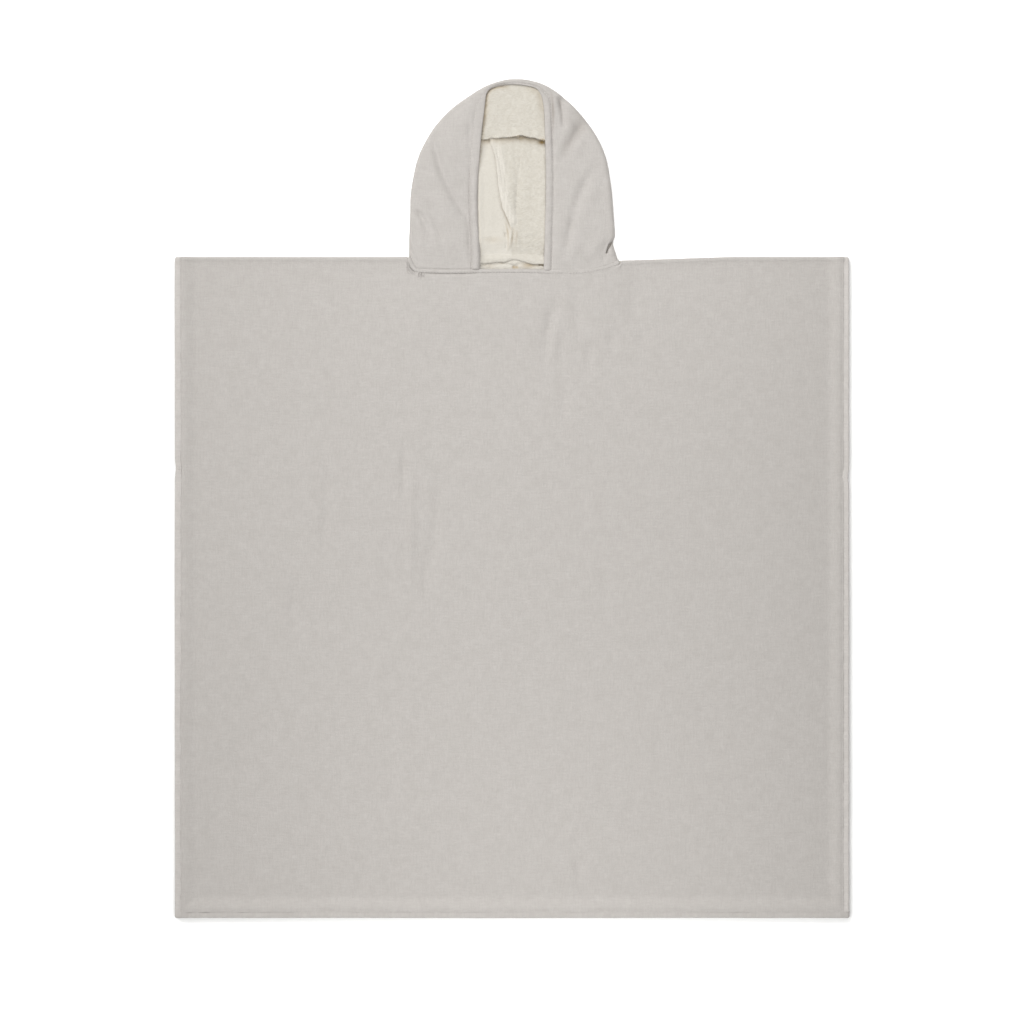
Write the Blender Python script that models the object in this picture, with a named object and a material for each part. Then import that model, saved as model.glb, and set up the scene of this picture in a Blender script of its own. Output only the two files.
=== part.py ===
"""Hooded bath poncho, laid out flat on its back with the hood spread above the shoulders.

Sizes are in millimetres and are turned into metres as each mesh is made. Every piece is drawn
from the neck point, the middle of the shoulder line on the surface that the poncho lies on:
X to the right, Y up from the shoulder line towards the hood, and Z up from the surface.
The empty "poncho" then puts the middle of the footprint on the origin.
"""

import bpy
import numpy as np

MM = 0.001

# The cloth is woven on one face and looped on the other.
CLOTH = 2.5
TURNED_HEM = 4.0  # a hem that is turned twice and sewn flat
SEAM_GAP = 0.3

# Body: two square panels.
BODY_WIDTH = 800.0
BODY_LENGTH = 784.0
HEM_WIDTH = 8.5
HEM_SLOPE = 28.0  # the front panel comes down from its hems over this distance
EDGE_ROUND = 2.0
EDGE_DROP = 1.2
LIE_HEIGHT = 1.6  # how far the front panel's soft waves stand off the back panel
ARMHOLE_LEFT = 251.0  # from the shoulder down to where the side seam starts
ARMHOLE_RIGHT = 261.0
TACK_LENGTH = 7.0
TACK_DEPTH = 1.1
NECK_RISE = 2.6  # the front panel climbs on to the seam allowances at the neck and the shoulders
SHOULDER_RISE = 0.9

# Hood: one piece, sewn up the centre back and boxed across the crown.
HOOD_HEIGHT = 211.0
HOOD_FOLD_HEIGHT = 9.0  # how high the cloth stands where it folds round the head
HOOD_FOLD_DEPTH = 6.0
HOOD_CREST = 1.8
RIM_TOP = 10.5
RIM_HEM = 5.0
RIM_HEM_WIDTH = 9.5
RIM_ROUND = 1.5
NECK_FADE = 60.0  # the front of the hood is drawn down to the neckline within this height
NECK_SETTLE = 26.0
NECK_SEAM_TOP = 8.4

# Neck band: the topstitched band between the hood and the front panel.
BAND_WIDTH = 5.0
BAND_BOTTOM = 4.7
BAND_TOP = 9.0
BAND_CORNER = 1.0

# Seam allowances, raised on the inside.
CROWN_SEAM = 2.2
CENTRE_SEAM = 1.8
NECK_SEAM = 1.6
NECK_SEAM_WIDTH = 6.0

# Shoulder line: x, y. It sags a little to the right of the hood.
SHOULDER_LINE = (
    (-400, 0), (-123, 0), (126, -4.5), (152, -3.6), (187, -2.4), (223, -1.2), (258, 0), (400, 0),
)

# Middle of the neck band, from the left neck corner to the right one: x, y.
NECKLINE = (
    (-121.5, -1.5), (-118.5, -9), (-113.5, -16), (-104, -18.2), (-78, -18.6), (-38, -17.2), (10, -17),
    (48, -17.9), (76, -17.8), (94, -16), (110, -12.6), (118, -9.8), (124.5, -7.4),
)

# Outline of the hood: height above the shoulder line, left x, right x.
HOOD_OUTLINE = (
    (0, -122, 125), (20, -122, 119.5), (32, -121.3, 121.5), (51, -120.8, 119.8), (75, -120, 118),
    (98, -116.3, 115), (117, -111.5, 111.5), (136, -103, 104), (155, -91, 92.5), (174, -73.5, 77),
    (190, -52, 60), (202.6, -31, 41.5), (209.3, -11, 22),
)
HOOD_APEX = (HOOD_HEIGHT, 5)

# Edge of the face opening: height above the shoulder line, left x, right x.
FACE_RIM = (
    (0, -37.6, 37.4), (18, -37.6, 38.2), (57, -40, 39.5), (96, -39.5, 40.1), (141, -36.7, 39.1),
    (168, -34, 37.6), (184, -31.8, 34.7), (195, -26.5, 29), (201, -17.5, 21),
)
FACE_APEX = (204, 2)

# Creases in the front of the hood: start x y, middle x y, end x y, width, depth.
HOOD_CREASES = (
    (-94, 142, -80, 84, -50, 41, 7, 1.9),
    (-117, 55, -104, 44, -97, 28, 6, 1.3),
    (-101, 58, -95, 40, -88, 23, 6, 0.9),
    (51, 197, 56, 182, 58, 165, 4, 1.1),
    (85, 159, 67, 148, 64, 123, 5, 1.9),
    (87, 96, 67, 56, 60, 8, 8, 1.5),
    (118, 20, 115, 10, 110, -1, 4, 2.4),
)

# Free edge of the crown seam's allowance, seen from inside: x, height.
CROWN_SEAM_EDGE = (
    (-120, 137), (-38, 139.5), (-19, 141), (1, 142.7), (12.5, 144), (26, 141), (39, 139), (120, 136),
)

# Centre-back seam's allowance: height, x of its free edge, x of its seam.
CENTRE_SEAM_EDGES = ((34, 1, 3), (57, -11, 5), (86, -16, 6.6), (115, -19, 6.6), (138, -25, 6.6))

# Mesh lines. Rows are heights of the hood's outline; the rest are x or y, and how many steps lead there.
HOOD_ROWS = (
    0, 4, 10, 18, 26, 35, 45, 56, 67, 78, 89, 100, 111, 121, 130, 136, 140, 144, 151, 160, 169, 178,
    187, 195, 201,
)
HOOD_COLUMNS = (0, 0.1, 0.2, 0.3, 0.38, 0.43, 0.48, 0.53, 0.58, 0.65, 0.74, 0.87, 1)
FRONT_STEPS = 9  # from the rim's hem to the fold
FOLD_STEPS = 6
NECKLINE_STEPS = 2
SIDE_COLUMNS = ((400, 0), (398, 1), (391.5, 1), (389, 1), (372, 1), (127.5, 7))
FRONT_ROWS = (
    (-784, 0), (-782, 1), (-775.5, 1), (-773, 1), (-756, 1), (-272, 12), (-261, 1), (-251, 1),
    (-240, 1), (-60, 5),
)
BACK_COLUMNS = (
    (-400, 0), (-398, 1), (-391.5, 1), (-389, 1), (-130, 4), (-118, 1), (120, 7), (130, 1), (389, 4),
    (391.5, 1), (398, 1), (400, 1),
)
BACK_ROWS = ((-784, 0), (-782, 1), (-775.5, 1), (-773, 1), (-60, 9))
FRONT_TOP_ROWS = (22, 10, 6, 3, 1.2, 0)  # distances below the front's top edge
BACK_TOP_ROWS = (12, 7, 5.5, 1.5, 0)

# Colours are linear: the woven face is a light warm grey, and the seams are lighter.
WOVEN_GREY = (0.53, 0.505, 0.475, 1)
BAND_GREY = (0.56, 0.535, 0.505, 1)


def clear_scene():
    for old in list(bpy.data.objects):
        bpy.data.objects.remove(old, do_unlink=True)


def cloth_material(name, colour):
    material = bpy.data.materials.new(name)
    material.use_nodes = True
    shader = material.node_tree.nodes["Principled BSDF"]
    shader.inputs["Base Color"].default_value = colour
    shader.inputs["Roughness"].default_value = 0.95
    shader.inputs["Metallic"].default_value = 0.0
    return material


def ease(value):
    """0 below 0, 1 above 1, and a smooth step between."""
    value = np.clip(value, 0, 1)
    return value * value * (3 - 2 * value)


def along(table, x):
    """The second column of a table, read at x in its first column."""
    rows = np.array(table, float)
    return np.interp(x, rows[:, 0], rows[:, 1])


def smooth_line(points, steps=12):
    """A Catmull-Rom curve through the points, with this many steps between each two."""
    points = np.array(points, float)
    padded = np.vstack([2 * points[0] - points[1], points, 2 * points[-1] - points[-2]])
    before, start, end, after = padded[:-3], padded[1:-2], padded[2:-1], padded[3:]
    t = np.linspace(0, 1, steps, endpoint=False)[:, None, None]
    curve = 0.5 * (
        2 * start
        + (end - before) * t
        + (2 * before - 5 * start + 4 * end - after) * t**2
        + (3 * start - before - 3 * end + after) * t**3
    )
    return np.vstack([curve.transpose(1, 0, 2).reshape(-1, 2), points[-1]])


def at_length(line, share):
    """Points of a line at these shares of its length."""
    length = np.concatenate([[0], np.cumsum(np.linalg.norm(np.diff(line, axis=0), axis=1))])
    share = np.asarray(share) * length[-1]
    return np.stack([np.interp(share, length, line[:, 0]), np.interp(share, length, line[:, 1])], axis=-1)


def moved_aside(line, distance):
    """The line moved sideways, to its left where the distance is positive."""
    along_it = np.gradient(line, axis=0)
    along_it /= np.linalg.norm(along_it, axis=1)[:, None]
    return line + distance * np.stack([-along_it[:, 1], along_it[:, 0]], axis=1)


def steps_through(stops):
    """Mesh lines from stops of (place, how many steps lead there)."""
    places = [np.array([stops[0][0]], float)]
    for (before, _), (place, steps) in zip(stops[:-1], stops[1:]):
        places.append(np.linspace(before, place, steps + 1)[1:])
    return np.concatenate(places)


def cloth_piece(name, outer, inner, quads, material, parent):
    """One closed wall: the outer face, the inner face turned round, and a strip along every free edge."""
    count = len(outer)
    half_edges = np.stack([quads, np.roll(quads, -1, axis=1)], axis=-1).reshape(-1, 2)
    _, edge, uses = np.unique(np.sort(half_edges, axis=1), axis=0, return_inverse=True, return_counts=True)
    free = half_edges[uses[edge.reshape(-1)] == 1]
    strips = np.column_stack([free[:, 1], free[:, 0], free[:, 0] + count, free[:, 1] + count])
    faces = np.vstack([quads, quads[:, ::-1] + count, strips])
    mesh = bpy.data.meshes.new(name)
    mesh.from_pydata((np.vstack([outer, inner]) * MM).tolist(), [], faces.tolist())
    return add_piece(name, mesh, material, parent)


def add_piece(name, mesh, material, parent):
    mesh.update()
    mesh.shade_smooth()
    mesh.set_sharp_from_angle(angle=np.radians(50))
    mesh.materials.append(material)
    piece = bpy.data.objects.new(name, mesh)
    bpy.context.scene.collection.objects.link(piece)
    piece.parent = parent
    return piece


def grid_quads(columns, rows):
    """Quads of a grid whose points run down each column in turn, facing up."""
    first = (np.arange(columns - 1)[:, None] * rows + np.arange(rows - 1)).reshape(-1)
    return np.stack([first, first + rows, first + rows + 1, first + 1], axis=1)


# Neck


def shoulder_y(x):
    return along(SHOULDER_LINE, x)


def neckline():
    return smooth_line(NECKLINE, NECKLINE_STEPS)


def below_band():
    return moved_aside(neckline(), -(BAND_WIDTH / 2 + SEAM_GAP))


def edge_below_band(x):
    """Top edge of the front panel: the shoulder line, scooped out below the neck band."""
    line = below_band()
    inside = (x >= line[0, 0] - 0.01) & (x <= line[-1, 0] + 0.01)
    return np.where(inside, np.interp(x, line[:, 0], line[:, 1]), shoulder_y(x))


def edge_above_band(x):
    """Lower edge of the hood's front, just above the neck band."""
    line = moved_aside(neckline(), BAND_WIDTH / 2 + SEAM_GAP)
    inside = (x >= line[0, 0]) & (x <= line[-1, 0])
    base = shoulder_y(x) + SEAM_GAP / 2
    return np.where(inside, np.minimum(np.interp(x, line[:, 0], line[:, 1]), base), base)


def make_neck_band(material, parent):
    """A flat band with rounded edges, carried along the neckline and closed at both ends."""
    line = neckline()
    half, corner = BAND_WIDTH / 2, BAND_CORNER
    section = (
        (-half, BAND_BOTTOM + corner), (-half + corner, BAND_BOTTOM), (half - corner, BAND_BOTTOM),
        (half, BAND_BOTTOM + corner), (half, BAND_TOP - corner), (half - corner, BAND_TOP),
        (-half + corner, BAND_TOP), (-half, BAND_TOP - corner),
    )
    edges = [np.column_stack([moved_aside(line, side), np.full(len(line), z)]) for side, z in section]
    rings = np.stack(edges, axis=1)
    around = len(section)
    quads = []
    for ring in range(len(line) - 1):
        for corner_index in range(around):
            a = ring * around + corner_index
            b = ring * around + (corner_index + 1) % around
            quads.append((a, b, b + around, a + around))
    last = (len(line) - 1) * around
    ends = [tuple(range(around))[::-1], tuple(range(last, last + around))]
    mesh = bpy.data.meshes.new("neck_band")
    mesh.from_pydata((rings.reshape(-1, 3) * MM).tolist(), [], quads + ends)
    mesh.update()
    return add_piece("neck_band", mesh, material, parent)


# Body


def tack(x, y):
    """How far the side hem is drawn together where each side seam starts."""
    level = np.where(x < 0, -ARMHOLE_LEFT, -ARMHOLE_RIGHT)
    return np.exp(-(((y - level) / TACK_LENGTH) ** 2))


def from_edge(x, y):
    """Distance from the nearest hemmed edge, at the sides and the bottom."""
    return np.minimum(BODY_WIDTH / 2 - np.abs(x), y + BODY_LENGTH)


def rounded_edge(x, y, below):
    """How far the upper face is taken down along a panel's edges."""
    return EDGE_DROP * ease((EDGE_ROUND - np.minimum(from_edge(x, y), below)) / EDGE_ROUND)


def panel_thickness(x, y):
    """Cloth, or the turned hem along the edge."""
    edge = from_edge(x, y)
    hem = ease((HEM_WIDTH + 1 - edge) / 2)
    return CLOTH + (TURNED_HEM - CLOTH) * hem


def back_top(x, y):
    """Upper face of the back panel, with the neck seam's allowance between the neck corners."""
    below = shoulder_y(x) - y
    at_neck = ease((120 - np.abs(x - 1)) / 4)
    allowance = NECK_SEAM * ease((NECK_SEAM_WIDTH - below) / 1.5) * at_neck
    return panel_thickness(x, y) + allowance


def soft_waves(x, y):
    """Broad shallow waves across the front panel, which die out towards its edges."""
    wave = (
        np.sin(x / 61 + 0.9) * np.sin(y / 83 + 0.4)
        + 0.7 * np.sin((x + y) / 97 + 2.1)
        + 0.5 * np.sin((x - 0.6 * y) / 47 + 4.0)
    )
    inward = ease((from_edge(x, y) - 10) / 90) * ease((-25 - y) / 90)
    return LIE_HEIGHT * (0.5 + wave / 4.4) * inward


def front_top(x, y, below):
    """Upper face of the front panel: soft waves, hems lying on the back's hems, and raised seams on top."""
    edge = from_edge(x, y)
    over_hem = 2 * (TURNED_HEM - CLOTH) * ease((HEM_SLOPE - edge) / HEM_SLOPE)
    stitched = 0.5 * np.exp(-(((edge - HEM_WIDTH) / 1.6) ** 2))
    at_neck = ease((126 - np.abs(x - 1)) / 6)
    neck_rise = NECK_RISE * at_neck * ease((20 - below) / 20)
    shoulder_rise = SHOULDER_RISE * (1 - at_neck) * ease((9 - below) / 6)
    return 2 * CLOTH + SEAM_GAP + over_hem - stitched + neck_rise + shoulder_rise + soft_waves(x, y)


def panel_points(columns, rows, top_edge, top_rows):
    """Plan of a panel: fixed rows, then rows at set distances below its top edge."""
    x, y = np.meshgrid(columns, rows, indexing="ij")
    upper = top_edge(columns)[:, None] - np.array(top_rows)
    y = np.hstack([y, upper])
    x = np.repeat(columns[:, None], y.shape[1], axis=1)
    below = top_edge(columns)[:, None] - y
    return x, y, below


def drawn_in(x, y):
    """The sides are pulled in a little at the tacks."""
    pull = np.where(BODY_WIDTH / 2 - np.abs(x) < HEM_WIDTH, TACK_DEPTH, 0) * tack(x, y)
    return x - np.sign(x) * pull


def make_back(material, parent):
    columns, rows = steps_through(BACK_COLUMNS), steps_through(BACK_ROWS)
    x, y, below = panel_points(columns, rows, lambda v: shoulder_y(v) - SEAM_GAP / 2, BACK_TOP_ROWS)
    top = back_top(x, y) - rounded_edge(x, y, below)
    outer = np.stack([drawn_in(x, y), y, top], axis=-1).reshape(-1, 3)
    inner = np.stack([drawn_in(x, y), y, np.zeros_like(x)], axis=-1).reshape(-1, 3)
    return cloth_piece("body_back", outer, inner, grid_quads(*x.shape), material, parent)


def make_front(material, parent):
    side = steps_through(SIDE_COLUMNS)
    columns = np.concatenate([-side, below_band()[:, 0], side[::-1]])
    x, y, below = panel_points(columns, steps_through(FRONT_ROWS), edge_below_band, FRONT_TOP_ROWS)
    tacked = TACK_DEPTH * tack(x, y) * ease((HEM_SLOPE - from_edge(x, y)) / HEM_SLOPE)
    top = front_top(x, y, below) - tacked
    bottom = np.maximum(top - panel_thickness(x, y), back_top(x, y) + SEAM_GAP)
    outer = np.stack([drawn_in(x, y), y, top - rounded_edge(x, y, below)], axis=-1).reshape(-1, 3)
    inner = np.stack([drawn_in(x, y), y, bottom], axis=-1).reshape(-1, 3)
    return cloth_piece("body_front", outer, inner, grid_quads(*x.shape), material, parent)


# Hood


def arch(table, apex):
    """A smooth arch up the left column, over the apex and down the right column, halved at the apex."""
    rows = np.array(table, float)
    left = np.column_stack([rows[:, 1], rows[:, 0]])
    right = np.column_stack([rows[::-1, 2], rows[::-1, 0]])
    line = smooth_line(np.vstack([left, (apex[1], apex[0]), right]))
    top = len(left) * 12
    return line[: top + 1], line[top:][::-1]


def hood_lines():
    """The outline and the face edge, at matching places from the left neck corner over to the right one."""
    outline_left, outline_right = arch(HOOD_OUTLINE, HOOD_APEX)
    face_left, face_right = arch(FACE_RIM, FACE_APEX)
    length = np.concatenate([[0], np.cumsum(np.linalg.norm(np.diff(outline_left, axis=0), axis=1))])
    sides = np.interp(HOOD_ROWS, outline_left[:, 1], length / length[-1])
    top_columns = np.array(HOOD_COLUMNS[1:-1])

    def whole(left, right):
        middle = np.vstack([left[left[:, 1] > at_length(left, sides[-1])[1]], right[::-1][1:]])
        start, end = at_length(left, sides[-1]), at_length(right, sides[-1])
        cut = np.linalg.norm(middle - end, axis=1).argmin()
        crown = np.vstack([start, middle[:cut], end])
        down_right = at_length(right, sides)[::-1]
        return np.vstack([at_length(left, sides), at_length(crown, top_columns), down_right])

    return whole(outline_left, outline_right), whole(face_left, face_right)


def crease_depth(x, y):
    """How far the creases sink the cloth: a soft trough along each curve, fading at both ends."""
    depth = np.zeros_like(x)
    for x0, y0, x1, y1, x2, y2, width, deep in HOOD_CREASES:
        t = np.linspace(0, 1, 25)
        line_x = (1 - t) ** 2 * x0 + 2 * t * (1 - t) * x1 + t**2 * x2
        line_y = (1 - t) ** 2 * y0 + 2 * t * (1 - t) * y1 + t**2 * y2
        away = np.hypot(x[..., None] - line_x, y[..., None] - line_y)
        along_it = np.sin(np.pi * (0.12 + 0.76 * t[away.argmin(axis=-1)]))
        depth += deep * np.exp(-((away.min(axis=-1) / width) ** 2)) * along_it
    return depth


def hood_front_top(x, y, height, from_rim, width):
    """Height of the hood's front, without and with its stitching and rounded rim.

    It has a level hem and a low crest, comes down to the fold, and settles at the neck seam.
    """
    hem = np.minimum(RIM_HEM_WIDTH, 0.5 * width)
    across = np.clip((from_rim - hem) / np.maximum(width - hem, 0.1), 0, 1)
    roomy = ease((width - 14) / 40)
    rim = HOOD_FOLD_HEIGHT + (RIM_TOP - HOOD_FOLD_HEIGHT) * roomy
    cloth = rim + (HOOD_FOLD_HEIGHT - rim) * across + HOOD_CREST * roomy * np.sin(np.pi * across)
    stitched = 0.8 * roomy * np.exp(-(((from_rim - hem - 1) / 1.8) ** 2))
    rounded = 1.2 * ease((RIM_ROUND - from_rim) / RIM_ROUND) * roomy
    settled = np.where(from_rim < hem, RIM_TOP - 0.6, NECK_SEAM_TOP)
    near_neck = 1 - ease(height / NECK_SETTLE)
    creased = crease_depth(x, y) * ease((from_rim - hem) / 4)
    smooth = cloth * (1 - near_neck) + settled * near_neck - creased
    return smooth, smooth - stitched - rounded


def hood_inside(x, y):
    """Height of the seam allowances above the hood's back: across the crown, and down the centre back."""
    above = y - along(CROWN_SEAM_EDGE, x)
    thick = CROWN_SEAM - 1.1 * ease((np.abs(x) - 42) / 40)
    crown = thick * ease((14 - above) / 14) * ease((above + 3) / 3)
    table = np.array(CENTRE_SEAM_EDGES)
    free_edge = np.interp(y, table[:, 0], table[:, 1])
    seam = np.interp(y, table[:, 0], table[:, 2])
    over = np.clip((x - free_edge) / np.maximum(seam - free_edge, 1), -1, 1)
    flap = ease((x - free_edge + 2) / 3) * ease((seam - x + 6) / 6) * (1 - 0.5 * np.clip(over, 0, 1))
    centre = CENTRE_SEAM * flap * ease((y - 22) / 14) * ease(-above / 3)
    return np.maximum(crown, centre)


def make_hood(material, parent):
    """The front is a strip from the face edge to the fold, where it turns under and runs on as the back."""
    outline, face = hood_lines()
    top_row = np.full(len(HOOD_COLUMNS) - 2, HOOD_ROWS[-1])
    height = np.concatenate([HOOD_ROWS, top_row, HOOD_ROWS[::-1]])[:, None]
    reach = outline - face
    width = np.linalg.norm(reach, axis=1)[:, None]
    direction = reach / width
    fold = np.minimum(HOOD_FOLD_DEPTH, 0.55 * width)
    flat = width - fold
    hem_share = np.minimum(RIM_HEM_WIDTH / flat, 0.5)
    rim_share = np.minimum(RIM_ROUND / flat, 0.2)
    before_hem = np.hstack([0 * flat, rim_share, 0.55 * hem_share, hem_share, hem_share + 0.035])
    towards_fold = 1 - np.linspace(1, 0, FRONT_STEPS + 1)[1:] ** 1.4  # closer together near the fold
    after_hem = before_hem[:, -1:] + (1 - before_hem[:, -1:]) * towards_fold
    share = np.hstack([before_hem, after_hem])
    from_rim = share * flat
    neck_fade = 1 - ease(height / NECK_FADE)

    def plan(distance, in_front):
        """Places this far from the face edge, drawn down to the neckline in front or the neck seam."""
        points = face[:, None, :] + direction[:, None, :] * distance[..., None]
        x, y = points[..., 0], points[..., 1]
        lift = SEAM_GAP / 2 * neck_fade
        down = shoulder_y(x) + in_front * (edge_above_band(x) - shoulder_y(x) - SEAM_GAP / 2)
        return x, y + lift + down * neck_fade

    x, y = plan(from_rim, 1)
    smooth, top = hood_front_top(x, y, height, from_rim, flat)
    hem_blend = ease((hem_share + 0.02 - share) / 0.02) * ease((width - 14) / 40)
    thickness = CLOTH + (RIM_HEM - CLOTH) * hem_blend
    front_outer = np.stack([x, y, top], axis=-1)
    front_inner = np.stack([x, y, smooth - thickness], axis=-1)

    angle = np.linspace(0, np.pi, FOLD_STEPS + 1)[1:]
    in_front = (angle < np.pi / 2 + 0.01).astype(float)
    start_height = top[:, -1:]

    def turned(depth, z_top, z_bottom):
        """Half an ellipse from the front's edge round to the back."""
        middle, half = (z_top + z_bottom) / 2, (z_top - z_bottom) / 2
        fold_x, fold_y = plan(flat + depth * np.sin(angle), in_front)
        return np.stack([fold_x, fold_y, middle + half * np.cos(angle)], axis=-1)

    fold_outer = turned(fold, start_height, 0 * start_height)
    inner_fold = np.maximum(fold - CLOTH, 0.3 * fold)
    fold_inner = turned(inner_fold, start_height - CLOTH, 0 * start_height + CLOTH)
    ring_outer = np.concatenate([front_outer, fold_outer], axis=1)
    ring_inner = np.concatenate([front_inner, fold_inner], axis=1)
    around, across = ring_outer.shape[:2]

    rows, columns = len(HOOD_ROWS), len(HOOD_COLUMNS)
    left, right = ring_outer[:rows, -1], ring_outer[-rows:, -1][::-1]
    share_across = np.array(HOOD_COLUMNS)[1:-1, None]
    interior = left[:-1, None, :] * (1 - share_across) + right[:-1, None, :] * share_across
    back_outer = interior.reshape(-1, 3)
    back_inner = back_outer.copy()
    back_inner[:, 2] = CLOTH + hood_inside(back_outer[:, 0], back_outer[:, 1])

    quads = [grid_quads(around, across)]
    index = np.zeros((rows, columns), int)
    last_ring = np.arange(around) * across + across - 1
    index[:, 0] = last_ring[:rows]
    index[:, -1] = last_ring[-rows:][::-1]
    index[-1] = last_ring[rows - 1 : rows + columns - 1]
    own = np.arange((rows - 1) * (columns - 2)).reshape(rows - 1, columns - 2)
    index[:-1, 1:-1] = around * across + own
    corners = (index[:-1, :-1], index[1:, :-1], index[1:, 1:], index[:-1, 1:])
    quads.append(np.stack(corners, axis=-1).reshape(-1, 4))
    outer = np.vstack([ring_outer.reshape(-1, 3), back_outer])
    inner = np.vstack([ring_inner.reshape(-1, 3), back_inner])
    return cloth_piece("hood", outer, inner, np.vstack(quads), material, parent)


clear_scene()
poncho = bpy.data.objects.new("poncho", None)
bpy.context.scene.collection.objects.link(poncho)
poncho.location = (0, (BODY_LENGTH - HOOD_HEIGHT) / 2 * MM, 0)
woven_grey = cloth_material("woven_grey", WOVEN_GREY)
band_grey = cloth_material("band_grey", BAND_GREY)
make_back(woven_grey, poncho)
make_front(woven_grey, poncho)
make_hood(woven_grey, poncho)
make_neck_band(band_grey, poncho)
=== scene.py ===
import bpy
import numpy as np
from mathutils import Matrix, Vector


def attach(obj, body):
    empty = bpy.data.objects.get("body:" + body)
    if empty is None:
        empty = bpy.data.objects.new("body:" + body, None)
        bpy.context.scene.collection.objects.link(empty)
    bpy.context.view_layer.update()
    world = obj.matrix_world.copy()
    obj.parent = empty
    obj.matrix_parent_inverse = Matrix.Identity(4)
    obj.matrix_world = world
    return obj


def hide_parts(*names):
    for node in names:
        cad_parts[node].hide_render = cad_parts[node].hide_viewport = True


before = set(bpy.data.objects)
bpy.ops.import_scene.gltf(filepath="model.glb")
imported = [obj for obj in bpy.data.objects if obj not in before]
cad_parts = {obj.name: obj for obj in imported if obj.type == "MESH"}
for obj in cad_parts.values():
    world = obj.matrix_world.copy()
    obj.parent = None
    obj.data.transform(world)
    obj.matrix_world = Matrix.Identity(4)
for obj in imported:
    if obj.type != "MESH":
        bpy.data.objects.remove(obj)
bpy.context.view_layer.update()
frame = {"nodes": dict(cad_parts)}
neckY = 286.5  # world Y of the neck point
print("frame loaded:", ", ".join(frame["nodes"]))


def ease(value):
    # 0 below 0, 1 above 1, and a smooth step between
    value = np.clip(value, 0, 1)
    return value * value * (3 - 2 * value)


def bell(value, wide):
    # 1 at 0, falling to 0.37 at this distance on both sides
    return np.exp(-((value / wide) ** 2))


def readTable(table, x, column=1):
    rows = np.array(table, float)
    return np.interp(x, rows[:, 0], rows[:, column])


def smoothLine(points, steps):
    # Catmull-Rom curve: each span is a cubic that passes through its two points
    points = np.array(points, float)
    padded = np.vstack([2 * points[0] - points[1], points, 2 * points[-1] - points[-2]])
    before, start, end, after = padded[:-3], padded[1:-2], padded[2:-1], padded[3:]
    t = np.linspace(0, 1, steps, endpoint=False)[:, None, None]
    bend = (2 * before - 5 * start + 4 * end - after) * t**2 + (3 * start - before - 3 * end + after) * t**3
    curve = 0.5 * (2 * start + (end - before) * t + bend)
    return np.vstack([curve.transpose(1, 0, 2).reshape(-1, points.shape[1]), points[-1]])


def arcLength(points, axis=0):
    step = np.diff(points, axis=axis, prepend=points.take([0], axis))
    return np.cumsum(np.linalg.norm(step, axis=-1), axis=axis)


def readLine(line, length, at):
    return np.stack([np.interp(at, length, column) for column in line.T], axis=-1)


def atShare(line, share):
    # points of a line at these shares of its length
    length = arcLength(line)
    return readLine(line, length, np.asarray(share) * length[-1])


def movedAside(line, distance):
    # a plan line moved to its left by this distance
    step = np.gradient(line, axis=0)
    step /= np.linalg.norm(step, axis=1)[:, None]
    return line + distance * np.stack([-step[:, 1], step[:, 0]], axis=1)


def cloudNoise(x, y, size, seed):
    # a random number at each corner of a square grid of this size, eased between corners, -1 to 1
    u, v = np.asarray(x) / size, np.asarray(y) / size
    i, j = np.floor(u), np.floor(v)
    du, dv = ease(u - i), ease(v - j)

    def corner(a, b):
        value = np.sin(a * 127.1 + b * 311.7 + seed * 74.7) * 43758.5453
        return 2 * (value - np.floor(value)) - 1

    low = corner(i, j) * (1 - du) + corner(i + 1, j) * du
    high = corner(i, j + 1) * (1 - du) + corner(i + 1, j + 1) * du
    return low * (1 - dv) + high * dv


def foldHeights(x, y, folds):
    # each fold is a bell-shaped ridge or trough along a bent line, which fades at both ends:
    # start x y, control x y, end x y, width, height
    height = np.zeros_like(x)
    t = np.linspace(0, 1, 41)
    for x0, y0, x1, y1, x2, y2, wide, tall in folds:
        near = 3 * wide
        close = (x > min(x0, x1, x2) - near) & (x < max(x0, x1, x2) + near)
        close &= (y > min(y0, y1, y2) - near) & (y < max(y0, y1, y2) + near)
        if not close.any():
            continue
        lineX = (1 - t) ** 2 * x0 + 2 * t * (1 - t) * x1 + t**2 * x2
        lineY = (1 - t) ** 2 * y0 + 2 * t * (1 - t) * y1 + t**2 * y2
        away = np.hypot(x[close][:, None] - lineX, y[close][:, None] - lineY)
        place = t[away.argmin(axis=1)]
        fade = np.sin(np.pi * (0.08 + 0.84 * place)) * (1 + 0.25 * np.sin(place * 9 + x0))
        height[close] += tall * fade * bell(away.min(axis=1), wide)
    return height


def gridFaces(rows, columns, start=0, wrap=False):
    # quads of a grid whose points run along its columns; wrap joins the last column to the first
    i = np.arange(rows - 1)[:, None] * columns
    j = np.arange(columns if wrap else columns - 1)
    nextJ = (j + 1) % columns
    corners = (i + j, i + columns + j, i + columns + nextJ, i + nextJ)
    return start + np.stack([c.reshape(-1) for c in np.broadcast_arrays(*corners)], axis=1)


def tubeFaces(rows, sides, flip=False):
    # the wall of a closed tube, and a flat cap at each end
    last = (rows - 1) * sides
    faces = gridFaces(rows, sides, wrap=True).tolist()
    faces += [list(range(sides)), list(range(last, last + sides))[::-1]]
    return [face[::-1] for face in faces] if flip else faces


def wallFaces(count, quads):
    # outer face, inner face turned round, and a strip along every edge that only one quad uses
    halves = np.stack([quads, np.roll(quads, -1, axis=1)], axis=-1).reshape(-1, 2)
    _, edge, uses = np.unique(np.sort(halves, axis=1), axis=0, return_inverse=True, return_counts=True)
    free = halves[uses[edge.reshape(-1)] == 1]
    strips = np.column_stack([free[:, 1], free[:, 0], free[:, 0] + count, free[:, 1] + count])
    slots = np.repeat([0, 1, 0], [len(quads), len(quads), len(strips)])
    return np.vstack([quads, quads[:, ::-1] + count, strips]), slots


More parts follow.
